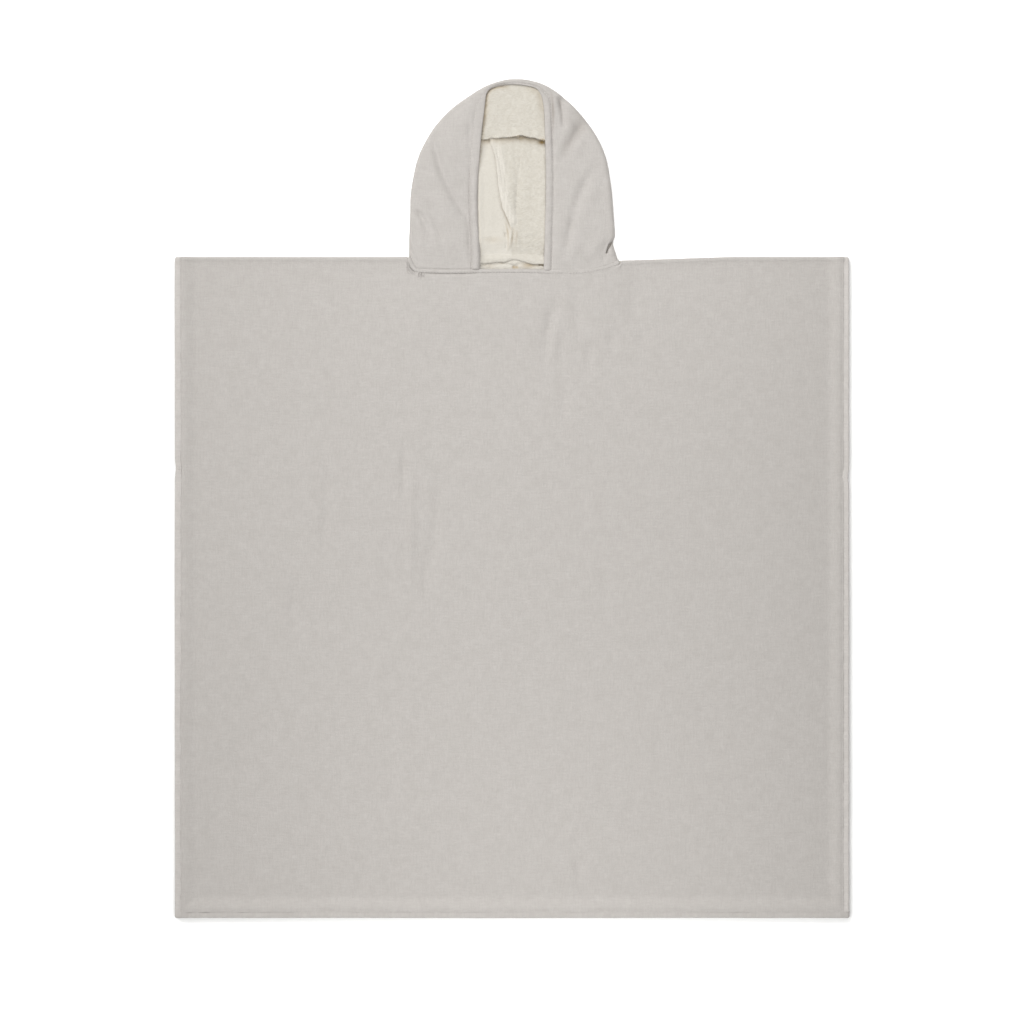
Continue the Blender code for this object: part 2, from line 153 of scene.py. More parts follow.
def twoFaces(x, y, *levels):
    # the points of two surfaces over the same plan places
    return np.vstack([np.stack([x, y, z], axis=-1).reshape(-1, 3) for z in levels])


def addPiece(name, points, faces, materials, uv, slots=None, marks=None):
    # uv is given in millimetres, by point or by face corner; marks are shades by point
    mesh = bpy.data.meshes.new(name)
    inMetres = (np.asarray(points).reshape(-1, 3) + (0, neckY, 0)) * 0.001
    mesh.from_pydata(inMetres.tolist(), [], [list(map(int, face)) for face in faces])
    corner = np.empty(len(mesh.loops), np.int32)
    mesh.loops.foreach_get("vertex_index", corner)
    uv = np.asarray(uv).reshape(-1, 2) * 0.001
    uv = uv if len(uv) == len(corner) else uv[corner]
    mesh.uv_layers.new(name="clothUv").data.foreach_set("uv", uv.ravel())
    for material in materials:
        mesh.materials.append(material)
    if slots is not None:
        mesh.polygons.foreach_set("material_index", np.asarray(slots, np.int32))
    for mark, values in (marks or {}).items():
        layer = mesh.attributes.new(mark, "FLOAT", "POINT")
        layer.data.foreach_set("value", np.asarray(values, np.float32).ravel())
    mesh.update()
    mesh.shade_smooth()
    mesh.set_sharp_from_angle(angle=np.radians(65))
    piece = bpy.data.objects.new(name, mesh)
    bpy.context.scene.collection.objects.link(piece)
    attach(piece, "root")
    return piece


def ringsAround(way, sides):
    # unit rings square to these directions, and the axis of each that points up
    way = way / np.linalg.norm(way, axis=1)[:, None]
    aside = np.cross(way, (0, 0, 1))
    aside /= np.linalg.norm(aside, axis=1)[:, None]
    up = np.cross(aside, way)
    angle = np.linspace(0, 2 * np.pi, sides, endpoint=False)[:, None]
    return np.cos(angle) * aside[:, None] + np.sin(angle) * up[:, None], up


def addThread(name, path, radius, material, sides=6):
    around, _ = ringsAround(np.gradient(path, axis=0), sides)
    uv = np.stack(np.broadcast_arrays(arcLength(path)[:, None], np.arange(sides) * 0.3), axis=-1)
    return addPiece(name, path[:, None] + radius * around, tubeFaces(len(path), sides), [material], uv)


def addStitches(name, rows, radius):
    # each stitch is a small spindle along its row, with its ends sunk in the cloth
    # rows: a list of (path, stitch length, gap)
    t = np.linspace(0, 1, 7)[1:-1]
    swell = np.sin(np.pi * t) ** 0.6
    i, j = np.arange(6), (np.arange(6) + 1) % 6
    wall = gridFaces(5, 6, start=1, wrap=True)
    first, last = np.column_stack([0 * i, 1 + i, 1 + j]), np.column_stack([0 * i + 31, 25 + j, 25 + i])
    points, faces = np.empty((0, 3)), []
    for path, stitch, gap in rows:
        length = arcLength(path)[-1]
        starts = np.arange(gap, length - stitch, stitch + gap)
        wobble = 0.12 * cloudNoise(starts, starts * 0 + radius, stitch, 3)
        a, b = atShare(path, (starts + wobble) / length), atShare(path, (starts + stitch) / length)
        around, up = ringsAround(b - a, 6)
        centre = a[:, None] + (b - a)[:, None] * t[:, None] + up[:, None] * (swell * radius * 0.7)[:, None]
        rings = centre[:, :, None] + around[:, None] * (radius * swell)[:, None, None]
        each = np.concatenate([a[:, None], rings.reshape(len(a), -1, 3), b[:, None]], axis=1)
        shift = len(points) + 32 * np.arange(len(a))[:, None, None]
        faces += (shift + wall).reshape(-1, 4).tolist()
        faces += (shift + first).reshape(-1, 3).tolist() + (shift + last).reshape(-1, 3).tolist()
        points = np.vstack([points, each.reshape(-1, 3)])
    return addPiece(name, points, faces, [greyThread], points[:, :2])


# Materials


def linear(hexColour):
    # an sRGB hex value as linear red, green, blue, alpha
    values = np.array([int(hexColour[i : i + 2], 16) for i in (1, 3, 5)]) / 255
    values = np.where(values <= 0.04045, values / 12.92, ((values + 0.055) / 1.055) ** 2.4)
    return (*values.tolist(), 1.0)


def addNode(tree, kind, settings=None, links=None):
    # one node, with its settings by property, input name or number, and links to its inputs
    node = tree.nodes.new(kind)
    for key, value in (settings or {}).items():
        if isinstance(key, str) and hasattr(node, key):
            setattr(node, key, value)
        else:
            node.inputs[key].default_value = value
    for key, source in (links or {}).items():
        tree.links.new(source, node.inputs[key])
    return node


def flatNoise(tree, place, scale, detail=1.0, rough=0.6):
    settings = dict(noise_dimensions="2D", Scale=scale, Detail=detail, Roughness=rough)
    return addNode(tree, "ShaderNodeTexNoise", settings, {"Vector": place}).outputs[0]


def stretched(tree, place, perU, perV):
    settings = {"operation": "MULTIPLY", 1: (perU, perV, 1)}
    return addNode(tree, "ShaderNodeVectorMath", settings, {0: place}).outputs[0]


def added(tree, first, second):
    return addNode(tree, "ShaderNodeMath", dict(operation="ADD"), {0: first, 1: second}).outputs[0]


def ranged(tree, value, low, high, top=1.0):
    # 0 at low, top at high
    settings = {"From Min": low, "From Max": high, "To Min": 0.0, "To Max": top}
    return addNode(tree, "ShaderNodeMapRange", settings, {0: value}).outputs[0]


def mixed(tree, share, low, high, clamp=True):
    # from low, a hex colour or a socket, towards the hex colour high
    settings = {"data_type": "RGBA", "clamp_factor": clamp, 7: linear(high)}
    links = {0: share}
    if isinstance(low, str):
        settings[6] = linear(low)
    else:
        links[6] = low
    return addNode(tree, "ShaderNodeMix", settings, links).outputs[2]


def markOf(tree, name):
    return addNode(tree, "ShaderNodeAttribute", dict(attribute_name=name)).outputs["Fac"]


def newMaterial(name):
    material = bpy.data.materials.new(name)
    material.use_nodes = True
    tree = material.node_tree
    place = addNode(tree, "ShaderNodeUVMap", dict(uv_map="clothUv")).outputs[0]
    return material, tree, place


def finishMaterial(tree, colour, height, bump, deep, settings):
    # the base colour, a relief of this depth in metres, and the shader's own values
    shader = tree.nodes["Principled BSDF"]
    relief = addNode(tree, "ShaderNodeBump", dict(Strength=bump, Distance=deep), {"Height": height})
    tree.links.new(colour, shader.inputs["Base Color"])
    tree.links.new(relief.outputs[0], shader.inputs["Normal"])
    for key, value in settings.items():
        shader.inputs[key].default_value = value


# Plain-woven cotton, yarn-dyed pale grey and washed soft: matt, with a faint crosshatch of uneven
# threads, slubs along both of them, and a clouded nap that catches the light at a low angle.
weave = dict(
    light="#A7A39F", dark="#9F9B97", cloud="#97938E", paintedShade="#54493A",
    thread=1.9,  # the real one has a thread each 0.8 mm; drawn coarser, so that it shows
    slub=12.0, grain=1.5, mottle=16.0, bump=0.35, bandBump=0.3,
    shader={
        "Roughness": 0.92, "IOR": 1.45, "Specular IOR Level": 0.2, "Sheen Weight": 0.25,
        "Sheen Roughness": 0.45, "Sheen Tint": linear("#E8E4DE"),
    },
)


def wovenCotton(name, light=weave["light"], dark=weave["dark"], cloud=weave["cloud"], bump=weave["bump"]):
    material, tree, place = newMaterial(name)
    perMetre, stretch = 1000 / weave["thread"], weave["thread"] / weave["slub"]
    # weft threads: noise drawn out along U; warp threads: the same along V
    weft = flatNoise(tree, stretched(tree, place, perMetre * stretch, perMetre), 1.0)
    warp = flatNoise(tree, stretched(tree, place, perMetre, perMetre * stretch), 1.0)
    grain = flatNoise(tree, place, 1000 / weave["grain"], rough=0.5)
    height = ranged(tree, added(tree, added(tree, weft, warp), grain), 1.05, 1.95)
    clouds = flatNoise(tree, place, 1000 / weave["mottle"], 2.0)
    colour = mixed(tree, height, dark, light)
    colour = mixed(tree, ranged(tree, clouds, 0.35, 0.75, 0.24), colour, cloud)
    # painted shade: far down a tight pleat or crease the cloth has almost no light
    colour = mixed(tree, markOf(tree, "paintedShade"), colour, weave["paintedShade"])
    finishMaterial(tree, colour, height, bump, 0.0004, weave["shader"])
    return material


# Cotton terry, left undyed: short uncut loops that stand close together, so the face is soft,
# speckled and a little darker between the loops.
terry = dict(
    light="#B2AEA5", dark="#AAA59B", paleOverlockAndLit="#C2BEB6", paintedShade="#80652E",
    loop=1.6, row=3.4, tuft=6.0, bump=0.32,
    shader={
        "Roughness": 0.95, "IOR": 1.45, "Specular IOR Level": 0.15,
        "Sheen Weight": 0.25, "Sheen Roughness": 0.6,
    },
)


def terryCotton(name):
    material, tree, place = newMaterial(name)
    rows = flatNoise(tree, stretched(tree, place, 1000 / terry["row"], 1000 / terry["loop"]), 1.0)
    tufts = flatNoise(tree, place, 1000 / terry["tuft"], 2.0)
    height = ranged(tree, added(tree, tufts, rows), 0.7, 1.3)
    # pressed flat, the loops show less of their speckle and reflect more
    calm = addNode(tree, "ShaderNodeMix", {3: 0.6}, {0: markOf(tree, "pressed"), 2: height}).outputs[0]
    colour = mixed(tree, calm, terry["dark"], terry["light"], clamp=False)
    # paler where white overlock threads close the loops, their own colour, and painted light where the cloth
    # lies raised
    colour = mixed(tree, markOf(tree, "lift"), colour, terry["paleOverlockAndLit"])
    # painted warm shade in the crevices and under the allowances, as light that goes down between the loops
    # comes back warm
    colour = mixed(tree, markOf(tree, "paintedShade"), colour, terry["paintedShade"])
    finishMaterial(tree, colour, calm, terry["bump"], 0.001, terry["shader"])
    return material


# Spun polyester sewing thread: twisted, with a slight lustre and fine slanted ridges.
def spunThread(name, light, dark):
    material, tree, place = newMaterial(name)
    settings = dict(wave_type="BANDS", bands_direction="DIAGONAL", Scale=700.0, Distortion=1.0)
    twist = addNode(tree, "ShaderNodeTexWave", settings, {"Vector": place}).outputs["Fac"]
    shader = {"Roughness": 0.6, "IOR": 1.5, "Sheen Weight": 0.1}
    finishMaterial(tree, mixed(tree, twist, dark, light), twist, 0.3, 0.0001, shader)
    return material


greyWeave = wovenCotton("plainWovenCotton")
# three layers sewn together, drawn a little lighter
hemWeave = wovenCotton("plainWovenCottonHem", "#B1ADA9", "#A8A4A0", "#A39E99")
bandWeave = wovenCotton("plainWovenCottonBand", bump=weave["bandBump"])
ecruLoops = terryCotton("uncutTerryCotton")
greyThread = spunThread("spunPolyesterThreadGrey", "#BDB9B5", "#A39F9A")
ecruThread = spunThread("spunPolyesterThreadEcru", "#D2CEC5", "#BDB8AD")
print("materials made")

# What shows inside the hood: its seam allowances and folds

inside = dict(
    crownEdge=(  # free edge of the crown seam's allowance: x, height
        (-120, 136), (-38, 138.8), (-30, 139.2), (-24, 140.4), (-19, 140), (-9, 141.1), (1, 141.8),
        (8, 143.3), (12.5, 143.5), (19, 142), (24, 140.8), (28, 140.6), (33, 138.7), (39, 138.2),
        (120, 135),
    ),
    crownDeep=17.0, crownThick=1.6, crownReach=(-86, 88),
    centre=(  # centre-back allowance: height, x of its free edge, x of its seam
        (30, -2, 4), (34, -1.5, 4.2), (45, -5.5, 4.6), (57, -11, 5), (72, -14.6, 6), (86, -16.4, 6.6),
        (100, -17.8, 6.6), (115, -19.5, 6.6), (128, -23, 6.6), (140, -27, 6.6), (150, -28, 6.6),
    ),
    neckEdge=(  # free edge of the neck allowance: x, height
        (-44, -8.4), (-37, -8.3), (-26, -7.3), (-18, -6.2), (-8, -6.6), (1, -3.6), (8, -4.2), (16, -6.6),
        (24, -8.6), (37, -8.9), (44, -9),
    ),
    ridges=(
        (0, 38, -1, 22, -4.5, 7, 1.5, 1.7), (3.5, 38, 5, 22, 9, 10, 1.4, 1.5),
        (1.5, 34, 1.5, 24, 2, 12, 1.4, -0.9), (-9, 31, -7, 26, -6, 20, 1.6, -1.5),
        (-6, 18, -7, 12, -8, 8, 1.5, -0.9), (-36, 20, -28, 18, -20, 19, 3.5, -0.7),
        (7, 102, 6, 78, 3, 54, 4, -1), (12, 60, 26, 62, 36, 56, 4, 0.5), (10, 44, 22, 40, 36, 44, 3, -0.4),
        (14, 24, 22, 30, 32, 27, 2.5, 0.5), (0, 36, -1.5, 20, -4, 6, 1, -0.8),
        (3.5, 36, 5.5, 22, 9, 10, 1, -0.7), (10, 128, 9, 100, 5, 70, 1.6, -0.6),
        (1, 96, 0, 76, 1.5, 58, 1.4, -0.6), (1.5, 58, 3, 55, 5, 60, 1.4, -0.5),
    ),
    twistShades=(  # painted shade lines where the centre allowance is twisted shut, the last value being how dark
        (-8.3, 42, -3, 28, -4.7, 8, 1, 0.38), (2.4, 37, 0.5, 22, -2.4, 10, 1, 0.28),
        (5.9, 31, 5.5, 24, 4.7, 16, 1, 0.22),
    ),
    flapFolds=(  # folds that run down the centre allowance
        (-25, 142, -18, 112, -13, 84, 2, 1.1), (-15, 100, -11, 70, -1, 36, 2.6, 1),
        (-8, 92, -7, 70, 1, 42, 1.5, -0.5), (-9, 84, -5, 66, 1, 42, 2, 0.5),
        (-6, 132, -4, 112, -3, 96, 3.5, -0.5), (-14, 138, -12, 124, -10, 106, 2.2, 0.5),
        (-23, 140, -17, 115, -13, 92, 1.1, 0.9), (-19, 140, -13.5, 112, -9.5, 88, 1, 0.8),
        (-15, 138, -10, 112, -6, 90, 1, 0.7), (-11, 94, -7, 74, -3, 56, 1, 0.8),
        (-7.5, 90, -4, 70, -0.5, 50, 1, 0.7),
    ),
)

# Body panels

body = dict(
    wide=800.0, long=784.0, cloth=2.5, gap=0.3, hemWide=8.2, hemThick=4.0, hemSlope=26.0,
    armholeLeft=251.0, armholeRight=261.0, tackReach=7.0, tackPull=1.1,
    neckRise=3.1, shoulderRise=0.9, shoulderRoll=2.6, waveTall=1.7, creaseTall=2.2,
)
shoulderLine = (
    (-400, 0), (-123, 0), (126, -4.5), (152, -3.6), (187, -2.4), (223, -1.2), (258, 0), (400, 0),
)
band = dict(
    wide=5.2, bottom=4.7, top=8.8, over=0.5,
    line=(  # middle of the band, from the left neck corner to the right one
        (-122.4, -1.2), (-120, -7.6), (-116.8, -13.2), (-113, -16.2), (-107, -16.8), (-100, -16.9),
        (-78, -17.5), (-38, -17.1), (10, -17), (48, -17.9), (76, -17.8), (94, -16), (110, -12.6),
        (118, -9.8), (124.5, -7.4), (127.4, -6.3),
    ),
)
neckline = smoothLine(band["line"], 10)


def shoulderY(x):
    return readTable(shoulderLine, x)


def edgeByBand(x, side):
    # plan edge of the cloth, a little under the neck band and below it (-1) or above it (1), and along
    # the shoulder line on both sides of the band
    line = movedAside(neckline, side * (band["wide"] / 2 - band["over"]))
    base = shoulderY(x) + (side > 0) * body["gap"] / 2
    edge = np.interp(x, line[:, 0], line[:, 1])
    if side > 0:
        edge = np.minimum(edge, base)
    return np.where((x >= line[0, 0]) & (x <= line[-1, 0]), edge, base)


def fromEdge(x, y):
    return np.minimum(body["wide"] / 2 - np.abs(x), y + body["long"])


def tack(x, y):
    # how far the side hem is drawn together where each side seam starts
    level = np.where(x < 0, -body["armholeLeft"], -body["armholeRight"])
    return bell(y - level, body["tackReach"])


frontFolds = (  # soft creases left from folding
    (-118, -256, -119, -310, -118, -392, 5.5, 0.7), (-121, -300, -121, -350, -120, -386, 1.8, 0.35),
    (-128, -218, -129, -250, -128, -284, 4.5, -0.75), (-88, -262, -87, -312, -98, -374, 7.5, -0.75),
    (-104, -352, -104, -380, -102, -412, 4.5, -0.5), (-218, -250, -217, -300, -226, -352, 6.5, -0.75),
    (-259, -385, -259, -420, -261, -458, 5, -1), (-160, -336, -161, -356, -160, -376, 4, 0.5),
    (-146, -330, -147, -350, -146, -372, 3.5, -0.5), (54, -44, 43, -78, 39, -128, 7, -0.85),
    (54, -64, 50, -96, 47, -124, 6, 0.4), (77, -30, 76, -60, 80, -98, 8, -0.6),
    (58, -90, 57, -110, 58, -140, 6, -0.35), (92, -100, 92, -116, 90, -138, 5, -0.5),
    (60, -146, 61, -180, 62, -214, 6, -0.4), (142, -46, 144, -58, 150, -72, 8, -0.8),
    (117, -88, 117, -98, 120, -110, 6, -0.6), (154, -88, 154, -98, 155, -108, 6, -0.5),
    (12, -26, 12, -48, 11, -72, 5, -0.4), (-151, -490, -144, -512, -137, -536, 4, -0.6),
    (76, -716, 77, -728, 82, -742, 4, -0.8), (-330, -560, -335, -596, -326, -646, 5, -0.6),
    (-346, -470, -350, -530, -348, -590, 4.5, 0.5), (-318, -430, -322, -500, -318, -580, 5, 0.45),
    (-201, -21, -165, -20.5, -131, -22, 2.5, -0.45), (-201, -24.5, -165, -24, -131, -25.5, 2.5, 0.3),
    (139, -42, 142, -50, 146, -62, 7, -0.5), (196, -46, 214, -50, 236, -48, 6, 0.4),
    (-12, -262, -11, -268, -10, -275, 5, -0.4),
    # short gathers that the neck seam draws into the panel
    (-125, -7, -120, -13.5, -115.5, -18.5, 1, -0.8), (-126, -9, -120.5, -15, -115, -20.5, 1.1, 0.8),
    (-127, -14, -122, -19, -117, -23, 1.2, -0.7), (-129, -18, -124, -21, -120, -22.5, 1.3, 0.4),
    (-111.3, -18, -111.3, -21, -111.6, -25, 0.9, 0.55), (-109.8, -18, -109.8, -21, -110, -25, 0.8, -0.5),
    (-108.3, -18, -108.3, -21, -108.5, -25, 0.9, 0.55), (-106.8, -18, -106.8, -21, -107, -25, 0.8, -0.5),
    (-105.2, -18, -105.2, -21, -105.4, -25, 0.9, 0.5), (-101, -22, -101, -26, -101.5, -31, 1.3, 0.3),
    (-94, -22, -94, -26, -94.5, -31, 1.3, -0.25), (-60, -23, -60, -28, -61, -36, 1.6, -0.2),
    (-22, -21, -22, -27, -22, -36, 1.8, -0.2), (96, -21, 97, -27, 98, -36, 1.8, -0.25),
    (110, -17, 112, -23, 115, -30, 1.6, -0.3),
)


def softWaves(x, y):
    # broad shallow waves: sines crossed at several slants, which die out towards the edges
    wave = np.sin(x / 61 + 0.9) * np.sin(y / 83 + 0.4) + 0.7 * np.sin((x + y) / 97 + 2.1)
    wave = wave + 0.5 * np.sin((x - 0.6 * y) / 47 + 4.0)
    wave = wave + 0.5 * cloudNoise(x, y, 52, 5) + 0.25 * cloudNoise(x, y, 24, 8)
    inward = ease((fromEdge(x, y) - 8) / 90) * ease((-22 - y) / 80)
    return body["waveTall"] * (0.5 + wave / 4.8) * inward


def shoulderDrop(below):
    # the edge rolls over the shoulder in a quarter circle
    share = 1 - np.clip(below / body["shoulderRoll"], 0, 1)
    return body["shoulderRoll"] * 0.75 * (1 - np.sqrt(1 - share**2 * 0.999))


def frontTop(x, y, below):
    edge = fromEdge(x, y)
    raised = 2 * (body["hemThick"] - body["cloth"])
    overHem = raised * ease((body["hemSlope"] - edge) / 15) * (1 + 0.08 * cloudNoise(x, y, 30, 2))
    atSide = body["wide"] / 2 - np.abs(x) < y + body["long"]
    groove = np.where(atSide, np.where(x < 0, 0.5, 0.25), 0.03) * bell(edge - body["hemWide"] - 0.4, 1.2)
    offBand = 1 - ease((126 - np.abs(x - 1)) / 6)
    atNeck = ease((160 - np.abs(x - 1)) / 55)
    # below the band the cloth puffs up, and its stitched edge lies deeper on the left than elsewhere
    deep = ease((x + 108) / 8) * ease((-32 - x) / 24)
    sunk = (0.3 + 1.2 * deep - 0.5 * ease((x - 20) / 30)) * (1 - ease(below / (3.0 + 1.5 * deep)))
    neckRise = (body["neckRise"] - sunk) * atNeck * ease((110 - below) / 100)
    atShoulder = body["shoulderRise"] * ease((9 - below) / 6) - 0.2 * bell(below - 5.6, 1.0)
    drawn = body["tackPull"] * tack(x, y) * ease((body["hemSlope"] - edge) / body["hemSlope"])
    smooth = 2 * body["cloth"] + body["gap"] + overHem + neckRise + offBand * atShoulder
    smooth = smooth + softWaves(x, y) + body["creaseTall"] * foldHeights(x, y, frontFolds) - drawn
    return smooth, smooth - groove - offBand * shoulderDrop(below)


def spaced(stops):
    # mesh lines from stops of (place, greatest step on the way there)
    places = [np.array([stops[0][0]], float)]
    for (before, _), (place, step) in zip(stops[:-1], stops[1:]):
        places.append(np.linspace(before, place, int(np.ceil((place - before) / step)) + 1)[1:])
    return np.concatenate(places)


def panelGrid(columns, rows, topRows, topEdge):
    # straight rows, then rows at these distances below the panel's top edge
    top = topEdge(columns)[:, None]
    y = np.hstack([np.repeat(rows[None], len(columns), axis=0), top - np.array(topRows)])
    return np.repeat(columns[:, None], y.shape[1], axis=1), y, top - y


def makeFrontPanel():
    inner = body["wide"] / 2 - body["hemWide"] + 1.0
    columns = spaced((
        (-inner, 0), (-388, 0.9), (-364, 2.6), (-274, 4.5), (-250, 3), (-236, 4.5), (-208, 3), (-140, 4.5),
        (-130, 1.8), (-114, 0.8), (-103, 0.55), (-78, 1.7), (34, 4.0), (100, 2.4), (104, 1.8), (126, 1.1),
        (134, 2), (364, 5.0), (388, 2.6), (inner, 0.9),
    ))
    rows = spaced(((-body["long"] + body["hemWide"] - 1.0, 0), (-772, 0.9), (-748, 2.6), (-66, 5.2)))
    topRows = (
        40, 35, 30, 26, 22, 18, 15, 12.5, 10.5, 9, 8, 7, 6.2, 5.6, 5, 4.2, 3.4, 2.6, 2, 1.5, 1, 0.6, 0.3,
        0.1, 0,
    )
    x, y, below = panelGrid(columns, rows, topRows, lambda x: edgeByBand(x, -1))
    smooth, z = frontTop(x, y, below)
    under = np.minimum(np.maximum(smooth - body["cloth"], body["cloth"] + body["gap"]), z - 0.5)
    faces, slots = wallFaces(x.size, gridFaces(*x.shape))
    points = twoFaces(x, y, z, under)
    return addPiece("frontPanel", points, faces, [greyWeave, ecruLoops], points[:, :2], slots)


crumples = (  # the inside face that shows below the neck seam is crumpled
    (-38, -9, -32, -7.5, -26, -11, 1.8, 1.3), (-27, -6.5, -20, -8, -14, -7, 1.5, 1),
    (-16, -10, -9, -8, -3, -11, 1.8, 1.4), (-5, -7, 2, -8.5, 9, -7.5, 1.6, 1),
    (5, -11, 13, -9, 20, -11.5, 1.8, 1.3), (18, -8, 25, -9.5, 33, -8, 1.6, 1.1),
    (28, -12, 34, -10, 39, -12, 1.6, 1.2), (-37, -9, -33, -9.5, -30, -9, 1.6, -1.2),
    (-24, -7.5, -14, -7, -6, -7.5, 2, -0.9), (0, -11.5, 4, -12.5, 8, -11.5, 2.2, -2),
    (14, -8.5, 21, -9.5, 28, -8.5, 2.2, -0.3), (31, -8.6, 34, -9, 38, -9.5, 1.8, -2.2),
)


def backTop(x, y, below):
    edge = fromEdge(x, y)
    # the top edge is folded up as the seam allowance, so it is thick between the neck corners
    atNeck = ease((118 - np.abs(x - 1)) / 4)
    allowance = 1.2 * ease((6 - below) / 2) * atNeck
    rise = (body["hemThick"] - body["cloth"]) * ease((body["hemWide"] + 1 - edge) / 2)
    loops = 0.15 * cloudNoise(x, y, 2.1, 4) * ease((46 - np.abs(x)) / 4) * ease((y + 40) / 10)
    # between the seam allowance and the band the cloth bunches up
    bunched = 1.5 * ease((20 - below) / 8) * ease((42 - np.abs(x)) / 4) * ease((below - 7) / 3)
    rolled = (1 - atNeck) * np.minimum(shoulderDrop(below + 0.3), 1.6)
    return body["cloth"] + allowance + rise + loops + bunched + foldHeights(x, y, crumples) - rolled


def makeBackPanel():
    inner = body["wide"] / 2 - body["hemWide"] + 0.4
    columns = spaced((
        (-inner, 0), (-380, 3), (-130, 16), (-110, 3), (-46, 8), (46, 0.9), (110, 8), (130, 3), (380, 16),
        (inner, 3),
    ))
    rows = spaced(((-body["long"] + body["hemWide"] - 0.4, 0), (-764, 3), (-60, 16), (-28, 4), (-22, 1.5)))
    topRows = (
        17, 16.2, 15.4, 14.6, 13.8, 13, 12.2, 11.4, 10.6, 9.8, 9, 8.2, 7.4, 6.6, 5.8, 5, 4, 3, 2, 1.2, 0.5,
        0.15,
    )
    x, y, below = panelGrid(columns, rows, topRows, shoulderY)
    points = twoFaces(x, y, backTop(x, y, below), 0 * x)
    quads = gridFaces(*x.shape)
    faces, _ = wallFaces(x.size, quads)
    slots = np.repeat([1, 0, 0], [len(quads), len(quads), len(faces) - 2 * len(quads)])
    # painted warm shade under the neck allowance, in the troughs below it and in two hollows
    shade = (0.05 + 0.15 * ease((x - 6) / 16)) * bell(y - readTable(inside["neckEdge"], x) + 1, 2.0)
    shade = shade + 0.35 * np.maximum(-foldHeights(x, y, crumples), 0)
    shade = shade + 0.38 * bell(x - 19, 8) * bell(y + 10.5, 3.0) + 0.16 * bell(x + 26, 7) * bell(y + 11, 2.5)
    # painted light: the looped face here is drawn paler
    marks = {"paintedShade": [np.clip(shade, 0, 1), 0 * x], "lift": [0 * x + 0.5, 0 * x + 0.5]}
    return addPiece("backPanel", points, faces, [greyWeave, ecruLoops], points[:, :2], slots, marks)


front = makeFrontPanel()
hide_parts("body_front")
back = makeBackPanel()
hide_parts("body_back")
print("body panels made")

# Hems: the cloth turned twice and sewn down near its inner edge

hem = dict(
    step=1.4, around=22, stitch=3.3, gap=1.3, threadRadius=0.26, corner=2.6, pucker=0.3,
    sewn=2.2, sewnRight=3.6,
)


def hemSection(share, low, high, t, seed, sewn, deep, lean):
    # a rounded rectangle: share runs round it, and the seam, at "sewn" from its inner edge, sinks its top
    # stitch by stitch
    c, s = np.cos(2 * np.pi * share), np.sin(2 * np.pi * share)
    across = body["hemWide"] / 2 * (1 - np.sign(c) * np.abs(c) ** 0.28)
    up = (low + high) / 2 + (high - low) / 2 * np.sign(s) * np.abs(s) ** 0.4
    pulse = np.cos(2 * np.pi * t / (hem["stitch"] + hem["gap"]))
    sunk = (deep + 0.2 * pulse) * bell(across - sewn, 0.9)
    uneven = cloudNoise(t, across * 0.7, 5.5, seed) + 0.5 * cloudNoise(t, across, 2.6, seed + 1)
    onTop = np.clip((up - low) / (high - low), 0, 1) ** 2
    leaning = lean[0] + (lean[1] - lean[0]) * across / body["hemWide"]
    return across, up + (leaning - sunk + hem["pucker"] * uneven * 0.8) * onTop * (s > 0)


def addHem(name, run, low, high, seed, sewn, deep=0.6, lean=(0, 0), puckers=()):
    # the section carried along one straight edge, with its outer corners rounded in plan
    start, end, outward, rounded = (np.array(v, float) for v in run)
    length = np.linalg.norm(end - start)
    t = np.linspace(0, 1, int(length / hem["step"]) + 1)
    tip = np.array([0, 0.15, 0.5, 1.0]) / length
    t = np.concatenate([tip, t[2:-2], 1 - tip[::-1]])
    along = (t * length)[:, None]
    share = np.linspace(0, 1, hem["around"], endpoint=False)[None]
    across, up = hemSection(share, low, high, along, seed, sewn, deep, lean)
    middle = (low + high) / 2
    for place, reach, sunk in puckers:
        up = up - sunk * bell(along - place, reach) * (up > middle)
    fromStart, beforeEnd = along + 99 * (1 - rounded[0]), length - along + 99 * (1 - rounded[1])
    fromEnd = np.where(along < length / 2, fromStart, beforeEnd)
    shy = np.clip(1 - fromEnd / hem["corner"], 0, 1)
    inset = hem["corner"] * (1 - np.sqrt(1 - shy**2 * 0.998)) * 0.8
    direction = (end - start) / length
    up = middle + (up - middle) * np.sqrt(1 - np.clip(1 - fromEnd / 1.2, 0, 1) ** 2 * 0.9)
    wave = 0.2 * cloudNoise(along, along * 0, 46, seed + 3) - 0.3 - 0.35 * max(outward[0], 0)
    out = across - body["hemWide"] + (wave - inset) * across / body["hemWide"]
    plan = start + direction * along[..., None] + outward * out[..., None]
    perimeter = np.linspace(0, 2 * (body["hemWide"] + high - low), hem["around"])
    uv, cloth = np.stack(np.broadcast_arrays(along, perimeter[None]), axis=-1), greyWeave
    if outward[0]:
        # the side hems are drawn in at the tacks
        drawn = body["tackPull"] * tack(plan[..., 0], plan[..., 1])
        plan[..., 0] -= outward[0] * drawn * across / body["hemWide"]
        uv, cloth = uv[..., ::-1], hemWeave
    faces = tubeFaces(len(along), hem["around"], flip=np.cross(direction, outward) < 0)
    return addPiece(name, np.concatenate([plan, up[..., None]], axis=-1), faces, [cloth], uv)


